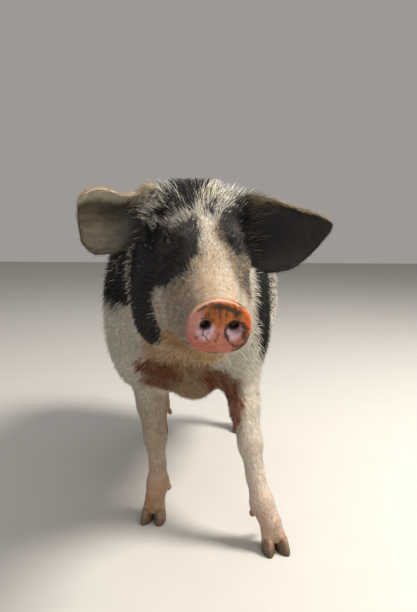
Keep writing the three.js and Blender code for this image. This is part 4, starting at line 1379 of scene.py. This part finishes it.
def hair_material():
    m = Nodes("pig_coat")
    m.shade("Base Color", m.times(m.attribute("Mark", "Color"), m.span(m.noise(160, 2), 0.82, 1.18)))
    m.shade("Roughness", m.span(m.noise(90, 2), 0.45, 0.68))
    m.shade("Normal", m.bump(m.noise(2600, 2), 0.25, 0.0002))
    m.constants(Specular_IOR_Level=0.11)
    return m.material


def eye_material():
    """Pupil, iris and the dark white round it, by the distance from the eye's axis."""
    m = Nodes("pig_eye")
    axes = m.axes()
    wide = m.add("ShaderNodeMath", {1: 0.72}, operation="MULTIPLY")
    m.link(axes["X"], wide.inputs[0])
    flat = m.add("ShaderNodeCombineXYZ")
    m.link(wide.outputs[0], flat.inputs["X"])
    m.link(axes["Y"], flat.inputs["Y"])
    far = m.add("ShaderNodeVectorMath", operation="LENGTH")
    m.link(flat.outputs[0], far.inputs[0])
    out = m.scaled_plus(far.outputs["Value"], 100.0, m.span(m.noise(700, 3), -0.05, 0.05))
    m.shade("Base Color", m.stops(
        out, (0.20, 0.003, 0.002, 0.002), (0.82, 0.16, 0.11, 0.09), (0.26, 0.035, 0.015, 0.007),
        (0.52, 0.055, 0.024, 0.010), (0.60, 0.008, 0.005, 0.004),
    ))
    m.shade("Roughness", m.span(m.noise(500, 2), 0.05, 0.12))
    m.shade("Normal", m.bump(m.noise(900, 2), 0.05, 0.0001))
    m.constants(Specular_IOR_Level=0.2, Coat_Weight=0.8, Coat_Roughness=0.03)
    return m.material


def horn_material():
    """Claw: pale horn with growth lines, darker with earth towards the ground."""
    m = Nodes("pig_horn")
    high = m.scaled_plus(m.axes()["Z"], 24.0, m.span(m.noise(120, 4), -0.35, 0.35))
    earthy = m.stops(
        high, (0.0, 0.060, 0.036, 0.020), (1.0, 0.28, 0.165, 0.105), (0.4, 0.175, 0.110, 0.066)
    )
    lines = m.noise(60, 3, (0.6, 0.6, 14))
    m.shade("Base Color", m.times(earthy, m.span(lines, 0.70, 1.2)))
    m.shade("Roughness", m.span(m.noise(200, 3), 0.42, 0.68))
    m.shade("Normal", m.bump(m.noise(900, 3), 0.3, 0.0004, m.bump(lines, 0.5, 0.0008)))
    return m.material


# ---------- pieces ----------
def add_object(name, data):
    """A new object in the scene."""
    made = bpy.data.objects.new(name, data)
    bpy.context.scene.collection.objects.link(made)
    return made


def add_piece(name, mesh, material):
    """A smooth piece of one material."""
    mesh.materials.append(material)
    mesh.shade_smooth()
    return add_object(name, mesh)


def mesh_of(name, points, faces):
    mesh = bpy.data.meshes.new(name)
    mesh.from_pydata(points.tolist(), [], faces)
    return mesh


def ring_faces(rings, count):
    """Faces over rings of points, and over a point past each end; the ends' points come last."""
    faces = []
    last = (rings - 1) * count
    for j in range(count):
        k = (j + 1) % count
        faces += [(rings * count, j, k), (rings * count + 1, last + k, last + j)]
        for i in range(0, last, count):
            faces.append((i + j, i + count + j, i + count + k, i + k))
    return faces


def set_colours(piece, name, colours):
    """A colour for each point, as a named attribute."""
    attribute = piece.data.color_attributes.new(name, "FLOAT_COLOR", "POINT")
    full = np.column_stack([colours, np.ones(len(colours))]).astype(np.float32)
    attribute.data.foreach_set("color", full.ravel())


def set_values(piece, name, values):
    """A number for each point, as a named attribute."""
    attribute = piece.data.attributes.new(name, "FLOAT", "POINT")
    attribute.data.foreach_set("value", values.astype(np.float32))


skin_q = to_head(skin_points)
skin_paint = Paint(skin_points, skin_q, EarPlaces(skin_q))
FLESH_NODES = ["trunk", "neck", "head", "lower_jaw", "snout_disc", "ear_left", "ear_right", "tail", *LEGS]
skin = add_piece("skin", mesh_of("skin", to_row(skin_points), skin_tris.tolist()), skin_material())
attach(skin, "root")
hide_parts(*FLESH_NODES)
set_colours(skin, "Mark", skin_paint.skin)
set_values(skin, "Wet", skin_paint.wet)


# ---------- eyes ----------
def make_eye(name, material):
    """An eyeball of rings round its axis, which bulges a little in front."""
    s = SIDES[name]
    out, along, up = eye_axes(s)
    steps, count = 26, 40
    angle = math.pi * (np.arange(1, steps) / steps) ** 1.25
    around = 2 * math.pi * np.arange(count) / count
    radius = EYE["radius"] + 0.7 * ramp(-angle, -0.62, -0.1)
    wide = np.sin(angle)[:, None]
    rings = np.stack(
        [wide * np.cos(around), wide * np.sin(around), np.cos(angle)[:, None] * np.ones(count)], -1
    ) * radius[:, None, None]
    points = np.concatenate([rings.reshape(-1, 3), [[0, 0, radius[0]], [0, 0, -radius[-1]]]])
    mesh = mesh_of(f"eyeball_{name}", points / 1000, ring_faces(len(rings), count))
    piece = add_piece(f"eyeball_{name}", mesh, material)
    axes = np.stack([along * s, up, out], 1)
    if np.linalg.det(axes) < 0:
        axes[:, 0] *= -1
    place = Matrix((HEAD_TURN @ axes).tolist()).to_4x4()
    place.translation = Vector(to_row(from_head(np.array(EYE["at"]) * (s, 1, 1))))
    piece.matrix_world = place
    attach(piece, "root")
    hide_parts(f"eye_{name}")


eye_look = eye_material()
for eye_name in SIDES:
    make_eye(eye_name, eye_look)


# ---------- claws ----------
def horn(rings, width, length, count, steps):
    """A closed skin through rings of (height, scale, shift back), rounded between them."""
    high, scale, back = zip(*rings)
    fine = np.concatenate([[0, 0.25, 0.8], np.linspace(1.6, high[-1] - 0.6, steps), [high[-1]]])
    scale, back = profile(list(zip(high, scale)))(fine), profile(list(zip(high, back)))(fine)
    scale = scale * (1 - 0.07 * bump(fine, 0, 0.5)) * (1 - 0.16 * bump(fine, high[-1], 0.9))
    around = 2 * math.pi * np.arange(count) / count
    c, s = np.cos(around), np.sin(around)
    taper = 1 + 0.2 * s
    x = (width / 2) * scale[:, None] * (taper * c)
    y = (length / 2) * scale[:, None] * s + back[:, None]
    z = np.repeat(fine[:, None], count, 1)
    points = np.stack([x, y, z], -1).reshape(-1, 3)
    ends = [[0, back[0], fine[0]], [0, back[-1], fine[-1]]]
    faces = [face[:1] + face[:0:-1] for face in ring_faces(len(fine), count)]
    return np.concatenate([points, ends]), faces


def turn_z(p, degrees):
    """Points turned about the upright axis."""
    c, s = math.cos(math.radians(degrees)), math.sin(math.radians(degrees))
    return np.stack([c * p[:, 0] - s * p[:, 1], s * p[:, 0] + c * p[:, 1], p[:, 2]], 1)


def add_horns(piece_name, slot, make, material):
    """All the claws, or all the dewclaws, as one piece of separate closed horns."""
    points, faces, nodes = [], [], []
    kind = slot.split("_")[0]
    for name in LEGS:
        outer = 1 if name.endswith("left") else -1
        for where, s in (("outer", outer), ("inner", -outer)):
            made, made_faces = make(s)
            start = sum(map(len, points))
            faces += [tuple(v + start for v in face) for face in made_faces]
            middle = pastern(name, DEWCLAW["at"][2]) if kind == "dewclaw" else None
            points.append(foot_point(name, made, middle))
            nodes.append(f"{kind}_{name}_{where}")
    mesh = mesh_of(piece_name, to_row(np.concatenate(points)), faces)
    piece = add_piece(piece_name, mesh, material)
    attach(piece, "root")
    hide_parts(*nodes)


CLAW_RINGS = [(0, 0.94, 0), (3, 0.99, 0.5), (13, 0.955, 4), (CORONET - 0.4, 0.81, 9)]
DEWCLAW_RINGS = [(0, 0.5, 0), (5, 0.88, 0), (24, 0.93, 0)]


def claw(s):
    """A claw of the toe on side s, in its foot's frame."""
    points, faces = horn(CLAW_RINGS, CLAW["width"], CLAW["length"], 40, 12)
    points = turn_z(points, CLAW["splay"] * s)
    return points + (CLAW["apart"] / 2 * s, -CLAW["ahead"], 0), faces


def dewclaw(s):
    """A dewclaw on side s, behind the foot and tilted back."""
    points, faces = horn(DEWCLAW_RINGS, DEWCLAW["width"], DEWCLAW["length"], 24, 9)
    points = points - (0, 0, DEWCLAW["high"])
    turn = Matrix.Rotation(math.radians(-DEWCLAW["out"] * s), 3, "Y")
    turn = turn @ Matrix.Rotation(math.radians(DEWCLAW["tilt"]), 3, "X")
    x, y, z = DEWCLAW["at"]
    return points @ np.array(turn).T + (x * s, y, z), faces


horn_look = horn_material()
add_horns("claws", "claw_horn", claw, horn_look)
add_horns("dewclaws", "dewclaw_horn", dewclaw, horn_look)


# ---------- coat ----------
TUFTS = 150000  # in all, apart from lashes and whiskers
PER_PIECE = 19600
TUFT_TRIS = np.array([  # three points at the root, three at the middle, and the tip
    (0, 2, 1), (0, 1, 4), (0, 4, 3), (1, 2, 5), (1, 5, 4),
    (2, 0, 3), (2, 3, 5), (3, 4, 6), (4, 5, 6), (5, 3, 6),
])
TUFT_SHADE = np.array((0.80, 0.80, 0.86, 0.97, 0.97, 1.02, 1.12))  # of its points, root to tip
PATCH = 0.003  # width of a tuft's patch on the unwrap
TUFT_PATCH = np.array([(0, 0), (1, 0), (0.5, 0), (0, 0.5), (1, 0.5), (0.5, 0.5), (0.5, 1)]) * PATCH
TUFT_BEND = 0.55  # how much of its lift a tuft loses at its middle
TUFT_ROOT = 0.9  # how deep it is rooted in the skin
HEAD_BACK, LEG_CHART_TOP, TAIL_CHART_SHARE = 290, 262, 0.4  # where the unwrap's charts meet
INSET = 0.0004  # how far inside the solids' box the hair stays, m
CHARTS = {  # low corner and size of each part's place on the unwrap
    "trunk": (0.01, 0.01, 0.56, 0.50), "head": (0.59, 0.01, 0.40, 0.50),
    "foreleg_left": (0.01, 0.53, 0.17, 0.46), "foreleg_right": (0.19, 0.53, 0.17, 0.46),
    "hindleg_left": (0.37, 0.53, 0.17, 0.46), "hindleg_right": (0.55, 0.53, 0.17, 0.46),
    "ear": (0.74, 0.53, 0.25, 0.30), "tail": (0.74, 0.85, 0.25, 0.14),
}


def tail_share(p):
    """The nearest station of the tail's path, and 1 on the tail, 0 on the trunk."""
    on = np.nonzero(p[:, 1] > TAIL["at"][1] - 12)[0]
    near, share = np.zeros(len(p), int), np.zeros(len(p))
    if len(on):
        far = np.sqrt(((p[on, None] - TAIL_LINKS[None, :, :3]) ** 2).sum(2))
        near[on] = far.argmin(1)
        share[on] = ramp(-far.min(1), -16, -11) * ramp(near[on].astype(float), 0.5, 4)
    return near, share


def part_shares(p, q):
    """How far each point belongs to the head, to the legs and to the chest."""
    head = ramp(-q[:, 1], -290, -240) * ramp(q[:, 2], -135, -105)
    legs = ramp(-p[:, 2], -285, -205) * (1 - head)
    chest = ramp(-p[:, 1], 0, 60) * ramp(-p[:, 2], -490, -430) * (1 - head)
    return head, legs, chest


def off_middle(p):
    """How far points lie to the left of the trunk's middle."""
    return p[:, 0] - body_shift(np.clip(p[:, 1], BODY[0][0], BODY[-1][0]))


def lie_of_coat(p, q, normals, ears):
    """The way the hair points, along the skin."""
    x, b, z = q.T
    head, legs, chest = part_shares(p, q)
    side = np.tanh(off_middle(p) / 40)
    flow = np.stack([0 * x, np.ones(len(p)), np.full(len(p), -0.38)], 1)
    rump = ramp(p[:, 1], 430, 560)[:, None]
    flow = flow * (1 - rump) + np.array((0, 0.35, -1.0)) * rump
    down = np.stack([0.75 * side, np.full(len(p), 0.25), np.full(len(p), -0.75)], 1)
    flow = flow + (down - flow) * chest[:, None]
    flow = flow + (np.array((0, 0.12, -1.0)) - flow) * legs[:, None]
    cheek, poll = ramp(b, 90, 180), ramp(z, 88, 118) * ramp(b, 140, 200)
    over = np.stack([
        0.35 * np.tanh(x / 30) * cheek + 0.32 * np.tanh(x / 40) * poll,
        np.ones(len(p)) * (1 - 0.35 * poll),
        -0.5 * cheek * ramp(-z, -50, 10) - 0.8 * ramp(-z, 40, 60) + 0.4 * poll,
    ], 1) @ HEAD_TURN.T
    flow = flow + (over - flow) * head[:, None]
    flow = np.where(ears.on[:, None], ears.axis @ HEAD_TURN.T, flow)
    near, share = tail_share(p)
    links = TAIL_LINKS[:, :3]
    steps = unit(np.diff(links, axis=0, append=links[-1:] * 2 - links[-2:-1]))
    flow = flow + (steps[near] - flow) * share[:, None]
    flow = unit(flow - (flow * normals).sum(1)[:, None] * normals)
    swirl = np.radians(17 * wave(p, 60, 61) + 12 * wave(p, 17, 62) + RNG.normal(0, 8, len(p)))
    swirl = swirl * np.where(ears.on, 0.8, 1) * (1 - 0.5 * legs)
    return flow * np.cos(swirl)[:, None] + np.cross(normals, flow) * np.sin(swirl)[:, None]


def coat_measures(p, q, ears):
    """Length, width, lift in degrees and cover of the hair."""
    b, z = q[:, 1], q[:, 2]
    head, legs, chest = part_shares(p, q)
    poll = ramp(z, 84, 118) * ramp(b, 150, 215)
    length = np.interp(p[:, 2], [20, 45, 120, 200, 270, 330, 470, 600], [5.5, 6, 7, 9, 14, 18, 22, 26])
    lift = np.interp(p[:, 2], [20, 60, 200, 330, 600], [11, 10, 12, 18, 19]) + 8 * chest
    face = np.interp(b, [14, 30, 70, 120, 170, 230, 290], [3.6, 4.6, 6.2, 8.5, 11, 15, 20])
    face = face + 4.5 * ramp(-z, 42, 66) * ramp(-b, -190, -120) + 15 * poll
    face_lift = np.interp(b, [14, 60, 160, 290], [15, 15, 18, 21])
    face_lift = face_lift + 12 * ramp(-z, 42, 66) * ramp(-b, -190, -120) + 27 * poll
    length, lift = length + (face - length) * head, lift + (face_lift - lift) * head
    for s in SIDES.values():
        length = length * (1 - 0.68 * ramp(-eye_place(q, s)[0], -32, -16))
    cover = 2.1 + 0.5 * (1 - head) * (1 - legs) + 1.3 * poll
    edge, top_edge = ramp(np.abs(ears.across), 0.80, 0.94), ramp(ears.across, 0.55, 0.85)
    ear_length = np.where(ears.facing > 0, 4.2, 6.5) + 2.5 * edge + 4 * top_edge
    ear_length = ear_length + 6 * ramp(-ears.along, -0.34, -0.16)
    length = np.where(ears.on, ear_length, length)
    lift = np.where(ears.on, 13 + 16 * edge, lift)
    cover = np.where(ears.on, 0.95 + 0.7 * edge + 0.4 * (ears.facing < 0), cover)
    length = length + (9 - length) * tail_share(p)[1]
    width = np.interp(length, [4, 9, 16, 28], [0.50, 0.70, 0.92, 1.12]) * (1 - 0.20 * head - 0.15 * poll)
    return length, width, lift, cover


def grows(p, q):
    """Where hair roots: not on the snout disc, the open eye, the mouth, the claws or their base."""
    x, b, z = q.T
    bald = (b < 17) & (np.abs(x) < 60) & (np.abs(z) < 60)
    bald |= (np.abs(z - mouth_level(b)) < 1.6) & (b < 108) & (b > 0) & (np.abs(x) < 70)
    bald |= p[:, 2] < CORONET + 1.0
    for s in SIDES.values():
        far, along, up, out = eye_place(q, s)
        bald |= (far < 17) & (np.hypot(along / 1.35, up) < 7.4) & (out > 0)
    return ~bald


def unwrapped(p, q, ears):
    """Each point's place on an unwrap of the skin, one chart for each part of the body."""
    uv = np.zeros((len(p), 2))

    def chart(name, chosen, u, v):
        x, y, w, h = CHARTS[name]
        uv[chosen] = np.stack([x + w * np.clip(u, 0, 1), y + h * np.clip(v, 0, 1)], 1)[chosen]

    def turn_about(x, z):
        return np.arctan2(x, z) / (2 * math.pi) + 0.5

    everything = np.ones(len(p), bool)
    chart("trunk", everything, (p[:, 1] + 250) / 860, turn_about(off_middle(p), p[:, 2] - 410))
    for name, joints in LEGS.items():
        line = np.array(joints)[::-1]
        x, y = [np.interp(p[:, 2], line[:, 2], line[:, k]) for k in (0, 1)]
        near = (p[:, 2] < LEG_CHART_TOP) & (np.hypot(p[:, 0] - x, p[:, 1] - y) < 80)
        chart(name, near, turn_about(p[:, 0] - x, p[:, 1] - y), p[:, 2] / LEG_CHART_TOP)
    head = (q[:, 1] < HEAD_BACK) & (q[:, 2] > -120)
    chart("head", head, q[:, 1] / 300 + 0.02, turn_about(q[:, 0], q[:, 2] - 8))
    quarter = 0.25 * (ears.side > 0) + 0.5 * (ears.facing > 0)
    chart("ear", ears.on, ears.row / Ear.ROWS, quarter + 0.23 * ears.col / Ear.COLS)
    near, share = tail_share(p)
    link = TAIL_LINKS[near]
    on_tail = share > TAIL_CHART_SHARE
    chart("tail", on_tail, near / TAIL["stations"], turn_about(p[:, 0] - link[:, 0], p[:, 2] - link[:, 2]))
    return uv


def tufts(roots, normals, lie, length, width, lift, colours, uv):
    """Closed tapered blades, bent down towards the skin: points, colours and unwrap places."""
    side = np.cross(lie, normals)
    rise, fall = np.radians(lift), np.radians(lift) * (1 - TUFT_BEND)
    first, second = [
        lie * np.cos(angle)[:, None] + normals * np.sin(angle)[:, None] for angle in (rise, fall)
    ]
    base = roots - normals * TUFT_ROOT
    middle = base + first * (0.5 * length)[:, None]
    tip = middle + second * (0.55 * length)[:, None]
    w, h = (side * width[:, None] / 2), (normals * width[:, None] * 0.3)
    points = np.stack([
        base - w, base + w, base + h * 1.4,
        middle - 0.8 * w, middle + 0.8 * w, middle + h, tip,
    ], 1)
    colour = np.clip(colours[:, None, :] * TUFT_SHADE[None, :, None], 0, 1)
    return points, colour, uv[:, None, :] + TUFT_PATCH[None]


def scatter(count, chosen=None):
    """Roots spread over the skin, close together where the hair is short, or only where chosen."""
    corners = skin_points[skin_tris]
    middle = corners.mean(1)
    area = np.linalg.norm(np.cross(corners[:, 1] - corners[:, 0], corners[:, 2] - corners[:, 0]), axis=1) / 2
    q = to_head(middle)
    ears = EarPlaces(q)
    if chosen is None:
        length, width, _, cover = coat_measures(middle, q, ears)
        total = np.cumsum(area * cover / (length * width) * grows(middle, q))
    else:
        total = np.cumsum(area * chosen(middle, q, ears))
    at = (np.arange(count) + RNG.random(count)) / count * total[-1]
    face = np.searchsorted(total, at).clip(0, len(total) - 1)
    u, v = RNG.random((2, count))
    over = u + v > 1
    u, v = np.where(over, 1 - u, u), np.where(over, 1 - v, v)
    weights = np.stack([1 - u - v, u, v], 1)[:, :, None]
    return (corners[face] * weights).sum(1), unit((skin_normals[skin_tris[face]] * weights).sum(1))


def coat():
    """The coat all over, with black and white hairs side by side in roan and at the edges of marks."""
    roots, normals = scatter(TUFTS)
    q = to_head(roots)
    keep = grows(roots, q)
    roots, normals, q = roots[keep], normals[keep], q[keep]
    ears = EarPlaces(q)
    lie = lie_of_coat(roots, q, normals, ears)
    length, width, lift, _ = coat_measures(roots, q, ears)
    painted = Paint(roots, q, ears)
    hair, black, roan = painted.hair, painted.black, painted.roan
    chance = RNG.random(len(roots))
    dark = chance < black**0.7 * 0.997 + 0.5 * roan * (1 - black)
    dark &= ~ears.on
    hair = np.where(dark[:, None], BLACK_HAIR * (0.8 + 1.1 * RNG.random(len(roots)))[:, None], hair)
    hair = hair * np.exp(RNG.normal(0, 0.13, len(roots)))[:, None]
    length = length * np.exp(RNG.normal(0, 0.16, len(roots)))
    lift = lift * np.exp(RNG.normal(0, 0.30, len(roots)))
    return tufts(roots, normals, lie, length, width, lift, hair, unwrapped(roots, q, ears))


def long_hairs(count, chosen, length, width, lift, colour, pull=(0, 0, 0), loose=0.25):
    """Single long hairs on a chosen part of the skin, drawn towards pull in the head's frame."""
    roots, normals = scatter(count, chosen)
    q = to_head(roots)
    ears = EarPlaces(q)
    lie = lie_of_coat(roots, q, normals, ears) + np.array(pull) @ HEAD_TURN.T
    lie = lie + RNG.normal(0, loose, (count, 3))
    lie = unit(lie - (lie * normals).sum(1)[:, None] * normals)
    vary = np.exp(RNG.normal(0, 0.22, count))
    shade = np.array(colour) * np.exp(RNG.normal(0, 0.2, count))[:, None]
    uv = unwrapped(roots, q, ears)
    rise = lift * np.exp(RNG.normal(0, 0.2, count))
    return tufts(roots, normals, lie, length * vary, width * np.ones(count), rise, shade, uv)


def ear_base(side):
    """Chooser for the front of an ear next to the head, and its upper edge there."""
    def chosen(p, q, ears):
        front = (ears.side == side) * (ears.facing > -1)
        return front * ramp(-ears.along, -0.42, -0.2) * (0.15 + ramp(ears.across, 0.3, 0.95))

    return chosen


def on_muzzle(p, q, ears):
    """Chooser for the muzzle, most of it below."""
    b, z = q[:, 1], q[:, 2]
    return (b > 18) * ramp(-b, -110, -60) * (0.25 + ramp(-z, 0, 45)) * (z > -110)


def at_tail_tip(p, q, ears):
    """Chooser for the last quarter of the tail."""
    near, share = tail_share(p)
    return share * ramp(near.astype(float), 25, 32)


def over_eyes(p, q, ears):
    """Chooser for the brow above each eye."""
    total = np.zeros(len(p))
    for s in SIDES.values():
        far, _, up, _ = eye_place(q, s)
        total = np.maximum(total, ramp(-far, -34, -24) * ramp(up, 6, 14) * ~ears.on)
    return total


def lashes():
    """Lashes along the upper lids, and a few along the lower ones."""
    made = []
    for s in SIDES.values():
        out, along, up = eye_axes(s)
        for count, level, rise in ((46, 1, 0.75), (16, -1, -0.5)):
            t = RNG.uniform(-1, 1, count)
            across, high = 9.0 * t, level * (4.6 * (1 - t * t) + 0.4)
            deep = np.sqrt(np.maximum((EYE["radius"] + EYE["lid"]) ** 2 - across**2 - high**2, 9))
            root = across[:, None] * along + high[:, None] * up + deep[:, None] * out
            roots = from_head(root + np.array(EYE["at"]) * (s, 1, 1))
            way = unit(out + rise * up + 0.35 * t[:, None] * along + RNG.normal(0, 0.1, (count, 3)))
            normal = unit(np.cross(np.cross(way, up), way))
            length = np.full(count, 9.0 if level > 0 else 5.0) * np.exp(RNG.normal(0, 0.15, count))
            width, lift = np.full(count, 0.4), np.full(count, 18.0)
            shade = np.tile(LASH, (count, 1)) * np.exp(RNG.normal(0, 0.4, count))[:, None]
            q = to_head(roots)
            made.append(tufts(
                roots, normal @ HEAD_TURN.T, way @ HEAD_TURN.T, length, width, lift, shade,
                unwrapped(roots, q, EarPlaces(q)),
            ))
    return made


def add_tufts(name, points, colours, uv, material):
    """Tufts as one piece, kept inside the solids' box."""
    count = len(points)
    mesh = bpy.data.meshes.new(name)
    faces = (TUFT_TRIS[None] + 7 * np.arange(count)[:, None, None]).reshape(-1, 3)
    places = np.clip(to_row(points.reshape(-1, 3)), BOX_LOW + INSET, BOX_HIGH - INSET)
    mesh.vertices.add(7 * count)
    mesh.vertices.foreach_set("co", places.astype(np.float32).ravel())
    mesh.loops.add(faces.size)
    mesh.loops.foreach_set("vertex_index", faces.ravel().astype(np.int32))
    mesh.polygons.add(len(faces))
    mesh.polygons.foreach_set("loop_start", np.arange(0, faces.size, 3, dtype=np.int32))
    mesh.update(calc_edges=True)
    layer = mesh.uv_layers.new(name="OFBake")
    layer.data.foreach_set("uv", uv.reshape(-1, 2)[faces.ravel()].astype(np.float32).ravel())
    piece = add_piece(name, mesh, material)
    set_colours(piece, "Mark", colours.reshape(-1, 3))
    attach(piece, "root")


coat_look = hair_material()
LONG_HAIRS = (  # how many, where, length, width, lift, colour, and which way they are drawn
    (300, ear_base(-1), 25, 0.45, 32, (0.50, 0.43, 0.32), (-0.3, -0.5, -0.15)),
    (330, ear_base(1), 21, 0.45, 28, (0.17, 0.145, 0.11), (0.6, -0.2, 0.5)),
    (230, on_muzzle, 17, 0.34, 42, (0.55, 0.44, 0.30)),
    (260, at_tail_tip, 30, 0.6, 14, WHITE_HAIR * 0.9),
    (200, over_eyes, 15, 0.40, 30, (0.075, 0.062, 0.050), (0, -0.4, 0.3)),
)
hair_sets = [coat(), *[long_hairs(*hairs) for hairs in LONG_HAIRS], *lashes()]
coat_points, coat_colours, coat_uv = [np.concatenate(group) for group in zip(*hair_sets)]
order = np.argsort(coat_points[:, 0, 1], kind="stable")
for part, chosen in enumerate(np.array_split(order, math.ceil(len(order) / PER_PIECE))):
    add_tufts(f"coat_{part + 1}", coat_points[chosen], coat_colours[chosen], coat_uv[chosen], coat_look)


# ---------- stage ----------
def plain_material(name, colour, spread):
    """One matt colour that varies a little."""
    m = Nodes(name)
    base = m.add("ShaderNodeCombineColor", dict(zip(("Red", "Green", "Blue"), colour)))
    m.shade("Base Color", m.times(base.outputs[0], m.span(m.noise(14, 3), 1 - spread, 1 + spread)))
    m.shade("Roughness", m.span(m.noise(30, 2), 0.75, 0.9))
    m.shade("Normal", m.bump(m.noise(240, 3), 0.15, 0.0006))
    return m.material


def add_floor():
    """A pale floor under the feet."""
    low = min(corner[2] for corner in cad_bounds)
    mesh = bpy.data.meshes.new("floor")
    mesh.from_pydata([(-6, -6, low), (6, -6, low), (6, 8, low), (-6, 8, low)], [], [(0, 1, 2, 3)])
    mesh.materials.append(plain_material("floor", (0.50, 0.485, 0.46), 0.03))
    floor = add_object("floor", mesh)


def add_light(name, place, aim, size, power, colour):
    data = bpy.data.lights.new(name, "AREA")
    data.shape, data.size, data.energy, data.color = "DISK", size, power, colour
    light = add_object(name, data)
    light.location = place
    light.rotation_euler = (Vector(aim) - Vector(place)).to_track_quat("-Z", "Y").to_euler()


def add_camera():
    data = bpy.data.cameras.new("camera")
    data.sensor_fit, data.sensor_width = "AUTO", CAMERA["sensor"]
    data.lens = CAMERA["focal"] / CAMERA["longer"] * CAMERA["sensor"]
    data.clip_start, data.clip_end = 0.05, 40
    camera = add_object("camera", data)
    camera.location = to_row(np.array(CAMERA["at"]))
    camera.rotation_euler = Euler(
        (math.radians(90 - CAMERA["down"]), 0, math.radians(CAMERA["turn"])), "XYZ"
    )
    bpy.context.scene.camera = camera


CAMERA = {  # place, angles in degrees, sensor in mm, and focal length for a longer side of 612
    "at": (135.7, -1227.1, 580.0), "down": 7.36, "turn": 4.5, "sensor": 36.0, "focal": 650, "longer": 612,
}
LIGHTS = {  # place, aim and size in metres, power in watts, colour
    "key": ((1.9, -0.1, 2.6), (0, 0, 0.35), 1.1, 165, (1.0, 0.945, 0.86)),
    "fill": ((-1.6, -2.3, 1.3), (0, -0.3, 0.35), 2.2, 10, (0.95, 0.97, 1.0)),
    "front": ((0.9, -2.6, 1.7), (0, -0.3, 0.4), 1.6, 22, (1.0, 0.96, 0.90)),
    "sky": ((0.3, 1.6, 3.6), (0, 0.4, 0), 4.5, 36, (0.97, 0.98, 1.0)),
}
add_floor()
for light_name, light_settings in LIGHTS.items():
    add_light(light_name, *light_settings)
world = bpy.data.worlds.new("studio")
world.use_nodes = True
background = world.node_tree.nodes["Background"]
background.inputs["Color"].default_value = (0.84, 0.80, 0.76, 1)
background.inputs["Strength"].default_value = 0.40
bpy.context.scene.world = world
bpy.context.scene.view_settings.view_transform = "Standard"
add_camera()
